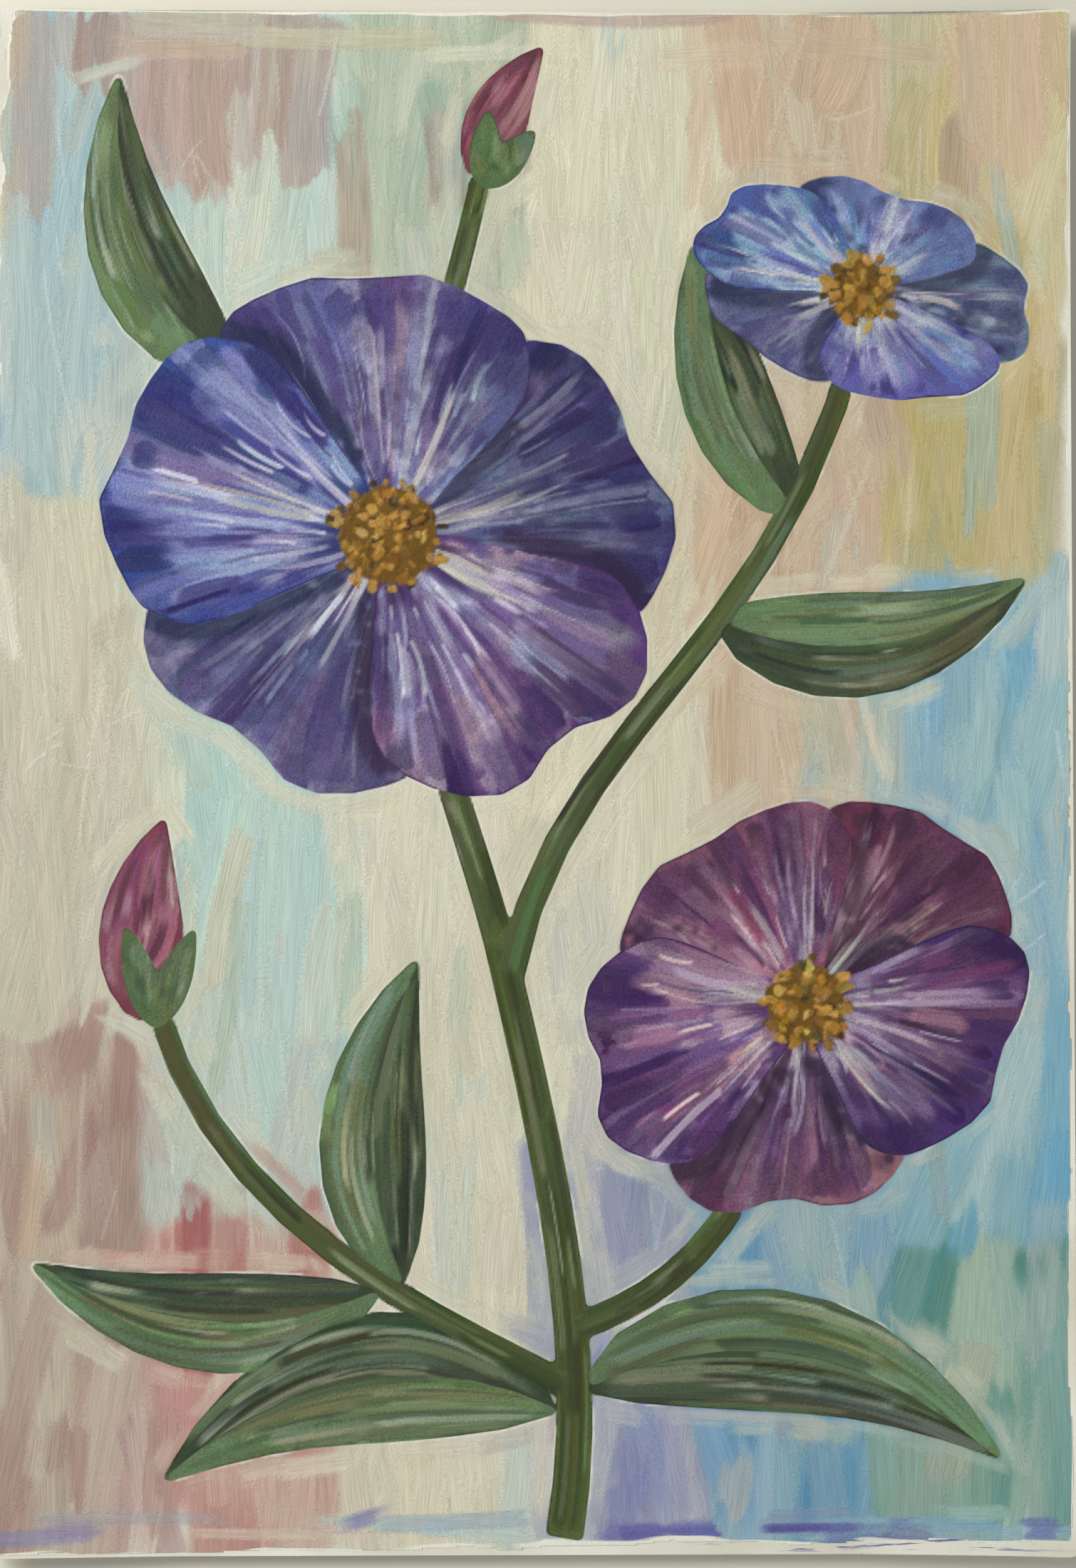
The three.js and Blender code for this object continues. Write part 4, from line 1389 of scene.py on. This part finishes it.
def underside(canvas, cells, steps):
    """The grid points of a coarse underside within a border, and its triangles."""
    width = len(canvas.x)
    pitch = round(UNDERSIDE_PITCH / GRID)
    coarse_rows = np.arange(pitch // 2, len(canvas.y) - 1, pitch)
    coarse_columns = np.arange(pitch // 2, width - 1, pitch)
    rows, columns = (field.ravel() for field in np.meshgrid(coarse_rows, coarse_columns))
    inner = np.logical_and.reduce([cells[rows - r, columns - c] for r in (0, 1) for c in (0, 1)])
    border = [steps[:, 0] * width + steps[:, 1], steps[:, 2] * width + steps[:, 3]]
    points = np.concatenate([np.unique(border), (rows * width + columns)[inner]])
    number_of = {point: k for k, point in enumerate(points)}
    edges = [(number_of[r0 * width + c0], number_of[r1 * width + c1]) for r0, c0, r1, c1 in steps]
    triangles = triangulate([(int(p % width), int(p // width)) for p in points], edges, 0)
    middle = np.stack([points[triangles] // width, points[triangles] % width], 2).mean(1)
    return points, triangles[cells[middle[:, 0].astype(int), middle[:, 1].astype(int)]]


def add_coat(node, cells, canvas, normals, material):
    """One coat as a closed body: brushed top, thin sides, and an underside sunk in the paper."""
    width = len(canvas.x)
    rows, columns = np.nonzero(cells)
    around = ((0, 0), (0, 1), (1, 1), (1, 0))
    corners = np.stack([(rows + r) * width + columns + c for r, c in around], 1)
    top_points, top_faces = np.unique(corners, return_inverse=True)
    top_faces = top_faces.reshape(-1, 4)
    steps = border_steps(cells)
    low_points, low_faces = underside(canvas, cells, steps)
    points = np.concatenate([top_points, low_points])
    top_number = np.zeros(width * len(canvas.y), np.int64)
    low_number = np.zeros_like(top_number)
    top_number[top_points] = np.arange(len(top_points))
    low_number[low_points] = np.arange(len(top_points), len(points))
    first = steps[:, 0] * width + steps[:, 1]
    last = steps[:, 2] * width + steps[:, 3]
    sides = np.stack([low_number[first], low_number[last], top_number[last], top_number[first]], 1)
    x = canvas.x[points % width]
    y = canvas.y[points // width]
    lift = np.maximum(canvas.height.ravel()[points], LEAST_COAT)
    lift[len(top_points):] = -SUNK
    vertices = np.stack([x, y, curl(x, y) + PAPER_THICKNESS + lift], 1)
    faces = [top_faces, sides, len(top_points) + low_faces[:, ::-1]]
    obj = make_mesh(node + "_paint", vertices, faces, [True, False, False])
    for name in ("dark", "light", "under"):
        add_values(obj.data, name, getattr(canvas, name).reshape(-1, 3)[points])
    for name in ("along", "across", "grain", "edge"):
        add_values(obj.data, name, getattr(canvas, name).ravel()[points])
    add_map(obj, len(top_faces))
    set_normals(obj.data, normals.reshape(-1, 3)[top_points][top_faces.ravel()])
    obj.data.materials.append(material)
    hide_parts(node)
    slot_of(node)
    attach(obj, "root")


def corner_arc(x, y, start):
    """The points of a rounded corner about a place, from a given heading in degrees."""
    angles = [math.radians(start + step * 90 / CORNER_STEPS) for step in range(CORNER_STEPS + 1)]
    return [(x + CORNER_RADIUS * math.cos(a), y + CORNER_RADIUS * math.sin(a)) for a in angles]


def sheet_outline():
    """The sheet's outline, anticlockwise, with rounded corners and a slightly rough cut."""
    x = SHEET_WIDTH / 2 - CORNER_RADIUS
    y = SHEET_LENGTH / 2 - CORNER_RADIUS
    corners = ((x, -y, -90), (x, y, 0), (-x, y, 90), (-x, -y, 180))
    arcs = [corner_arc(*corner) for corner in corners]
    pieces = []
    for arc, following in zip(arcs, arcs[1:] + arcs[:1]):
        start, goal = np.array(arc[-1]), np.array(following[0])
        count = round(math.dist(start, goal) / EDGE_PITCH)
        shares = np.arange(1, count)[:, None] / count
        pieces += [arc, start + (goal - start) * shares]
    points = np.concatenate(pieces)
    rough = CUT_ROUGHNESS * (1 + noise(points[:, 0] / 3 + 40, points[:, 1] / 3 + 90))
    return points * (1 - rough[:, None] * 2 / np.array([SHEET_WIDTH, SHEET_LENGTH]))


def add_sheet(material):
    """The paper: a thin closed sheet with a smooth curl."""
    outline = sheet_outline()
    ring = np.arange(len(outline))
    after = (ring + 1) % len(outline)
    inner = np.meshgrid(*(np.arange(-half, half + 0.1, SHEET_PITCH) for half in SHEET_INNER_HALF))
    flat = np.concatenate([outline, np.stack([field.ravel() for field in inner], 1)])
    triangles = triangulate(flat, list(zip(ring.tolist(), after.tolist())), 1)
    x, y = flat.T
    low = np.column_stack([flat, curl(x, y)])
    top = low + (0, 0, PAPER_THICKNESS)
    normals = upward((curl(x + 1, y) - curl(x - 1, y)) / 2, (curl(x, y + 1) - curl(x, y - 1)) / 2)
    sides = np.stack([ring + len(flat), after + len(flat), after, ring], 1)
    faces = [triangles, sides, triangles[:, ::-1] + len(flat)]
    obj = make_mesh("sheet_of_paper", np.concatenate([top, low]), faces, [True, False, True])
    add_values(obj.data, "face", np.repeat([1.0, 0.0], len(flat)))
    add_map(obj, len(triangles))
    set_normals(obj.data, normals[triangles.ravel()], -normals[triangles[:, ::-1].ravel()])
    obj.data.materials.append(material)
    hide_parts("paper_sheet")
    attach(obj, "root")


# --- Materials ---

class Nodes:
    """Shorthand for a material's nodes. A value is a number, a colour or a node's socket."""

    def __init__(self, name):
        self.material = bpy.data.materials.new(name)
        self.material.use_nodes = True
        self.tree = self.material.node_tree
        self.shader = self.tree.nodes["Principled BSDF"]

    def set(self, socket, value):
        if hasattr(value, "links"):
            self.tree.links.new(value, socket)
        else:
            socket.default_value = value

    def add(self, kind, inputs, **settings):
        """A node with values for its sockets, by their names or numbers."""
        node = self.tree.nodes.new("ShaderNode" + kind)
        for key, value in settings.items():
            setattr(node, key, value)
        for key, value in inputs.items():
            self.set(node.inputs[key], value)
        return node

    def here(self):
        return self.add("TexCoord", {}).outputs["Object"]

    def stored(self, name, output="Fac"):
        """What each vertex holds under a name."""
        return self.add("Attribute", {}, attribute_name=name).outputs[output]

    def math(self, operation, *values):
        return self.add("Math", dict(enumerate(values)), operation=operation).outputs[0]

    def noise(self, vector, scale, detail=2.0, roughness=0.5):
        inputs = {"Scale": scale, "Detail": detail, "Roughness": roughness, "Vector": vector}
        return self.add("TexNoise", inputs).outputs["Fac"]

    def blend(self, share, first, second):
        """A colour between two, by a share."""
        return self.add("Mix", {0: share, 6: first, 7: second}, data_type="RGBA").outputs[2]

    def between(self, share, first, second):
        """A number between two, by a share."""
        return self.add("Mix", {0: share, 2: first, 3: second}, data_type="FLOAT").outputs[0]

    def span(self, value, from_low, from_high, to_low=0.0, to_high=1.0):
        """A value brought from one range to another, and kept within it."""
        inputs = {"From Min": from_low, "From Max": from_high, "To Min": to_low, "To Max": to_high}
        return self.add("MapRange", inputs | {"Value": value}).outputs["Result"]

    def surface(self, colour, roughness, specular, height=None, depth=0.0):
        """Sets what the shader shows, with a bump of the given depth where there is a height."""
        self.set(self.shader.inputs["Base Color"], colour)
        self.set(self.shader.inputs["Roughness"], roughness)
        self.set(self.shader.inputs["Specular IOR Level"], specular)
        if height is not None:
            bump = self.add("Bump", {"Strength": 1.0, "Distance": depth, "Height": height})
            self.set(self.shader.inputs["Normal"], bump.outputs["Normal"])
        return self.material


# A streak's width and length in dried paint, in millimetres.
STREAK_SIZE = (0.45, 14.0)


def solid(colour):
    return tuple(linear(colour)) + (1.0,)


def paint_material(name, roughness, depth):
    """Dried paint: fine streaks follow the brush, and grain shows where it is a thin wash."""
    nodes = Nodes(name)
    here = nodes.here()
    across, along = (nodes.math("DIVIDE", nodes.stored(key), size)
                     for key, size in zip(("across", "along"), STREAK_SIZE))
    streak = nodes.noise(nodes.add("CombineXYZ", {"X": across, "Y": along}).outputs[0], 1.0)
    relief = nodes.between(nodes.stored("grain"), streak, nodes.noise(here, 1700.0))
    dark, light, under = (nodes.stored(key, "Color") for key in ("dark", "light", "under"))
    colour = nodes.blend(nodes.span(relief, 0.28, 0.72), dark, light)
    colour = nodes.blend(nodes.span(nodes.stored("edge"), 0.44, 0.56), under, colour)
    rough = nodes.span(nodes.noise(here, 160.0, 3.0), 0.3, 0.7, roughness - 0.08, roughness + 0.1)
    return nodes.surface(colour, rough, specular=0.22, height=relief, depth=depth)


# Flecks of stray paint on the bare margins: their colour, the box of the sheet's face that they lie
# in, in millimetres, how fine they are each way, and the noise above which one shows.
FLECKS = (
    (VIOLET, ((40, 149), (-210, -202)), (60, 900, 0), 0.56),
    (OCHRE, ((145, 149), (-40, 40)), (900, 300, 0), 0.58),
    (shaded(MAUVE, 0.3), ((-149, -136), (130, 210)), (700, 60, 0), 0.6),
)


def add_flecks(nodes, here, paper, colour, box, fineness, least):
    """Mixes flecks of a colour into the paper's, within a box."""
    place = nodes.add("SeparateXYZ", {0: here})
    share = nodes.stored("face")
    for axis, (low, high) in zip("XY", box):
        middle = (low + high) / 2 * MM
        half = (high - low) / 2 * MM
        away = nodes.math("ABSOLUTE", nodes.math("SUBTRACT", place.outputs[axis], middle))
        share = nodes.math("MULTIPLY", share, nodes.span(away, 0.6 * half, half, 1.0, 0.0))
    stretched = nodes.add("VectorMath", {0: here, 1: fineness}, operation="MULTIPLY").outputs[0]
    spots = nodes.noise(stretched, 1.0, 3.0, 0.6)
    share = nodes.math("MULTIPLY", nodes.span(spots, least, least + 0.06, 0.0, 0.9), share)
    return nodes.blend(share, paper, solid(colour))


def paper_material():
    """Heavy white paper with tooth, a little grime, and flecks of paint on its bare margins."""
    nodes = Nodes("paper")
    here = nodes.here()
    tooth = nodes.noise(here, 1500.0, 3.0, 0.6)
    cloud = nodes.noise(here, 26.0, 3.0)
    warm = shaded(PAPER_WHITE, -0.08) * np.array([1.0, 0.985, 0.95])
    colour = nodes.blend(nodes.span(cloud, 0.35, 0.7), solid(PAPER_WHITE), solid(warm))
    for fleck in FLECKS:
        colour = add_flecks(nodes, here, colour, *fleck)
    rough = nodes.span(tooth, 0.3, 0.7, 0.8, 0.95)
    return nodes.surface(colour, rough, specular=0.3, height=tooth, depth=0.00006)


def floor_material():
    return Nodes("floor").surface(FLOOR_COLOUR, 0.9, specular=0.5)


# --- Scene ---

def add_floor():
    """A plain pale floor, far wider than the frame."""
    mesh = bpy.data.meshes.new("floor")
    corners = [(x * FLOOR_HALF, y * FLOOR_HALF, 0) for x, y in ((-1, -1), (1, -1), (1, 1), (-1, 1))]
    mesh.from_pydata(corners, [], [(0, 1, 2, 3)])
    floor = add_object("floor", mesh)
    floor.data.materials.append(floor_material())


def add_lights():
    """Area lights aimed at the sheet's middle, and an even room around it."""
    for name, place, size, power, colour in LIGHTS:
        light = bpy.data.lights.new(name, "AREA")
        light.size = size
        light.energy = power
        light.color = colour
        obj = add_object(name, light)
        obj.location = place
        obj.rotation_euler = (-obj.location).to_track_quat("-Z", "Y").to_euler()
    room = bpy.data.worlds.new("room")
    room.use_nodes = True
    background = room.node_tree.nodes["Background"]
    background.inputs["Color"].default_value = ROOM_COLOUR
    background.inputs["Strength"].default_value = ROOM_STRENGTH
    bpy.context.scene.world = room


def add_camera():
    """Nearly straight above the sheet, which fills the frame."""
    data = bpy.data.cameras.new("camera")
    camera = add_object("camera", data)
    camera.location = CAMERA_PLACE
    camera.rotation_euler = (math.radians(CAMERA_TILT), math.radians(CAMERA_PAN), 0.0)
    data.sensor_fit = "VERTICAL"
    data.sensor_height = SENSOR_HEIGHT
    data.lens = CAMERA_LENS
    bpy.context.scene.camera = camera


def main():
    canvas = Canvas()
    nodes = [s["node"] for s in frame["record"]["subparts"] if s["node"] != "paper_sheet"]
    covers, top = coat_regions(canvas, nodes)
    paint_picture(canvas, covers)
    normals = surface_normals(canvas)
    thin = paint_material("thin_paint", roughness=0.55, depth=0.00012)
    thick = paint_material("thick_paint", roughness=0.48, depth=0.00014)
    add_sheet(paper_material())
    for index, node in enumerate(nodes):
        add_coat(node, top == index, canvas, normals, thin if level(node) < MOTIF_LEVEL else thick)
    add_floor()
    add_lights()
    add_camera()
    bpy.context.scene.view_settings.view_transform = "Standard"


main()
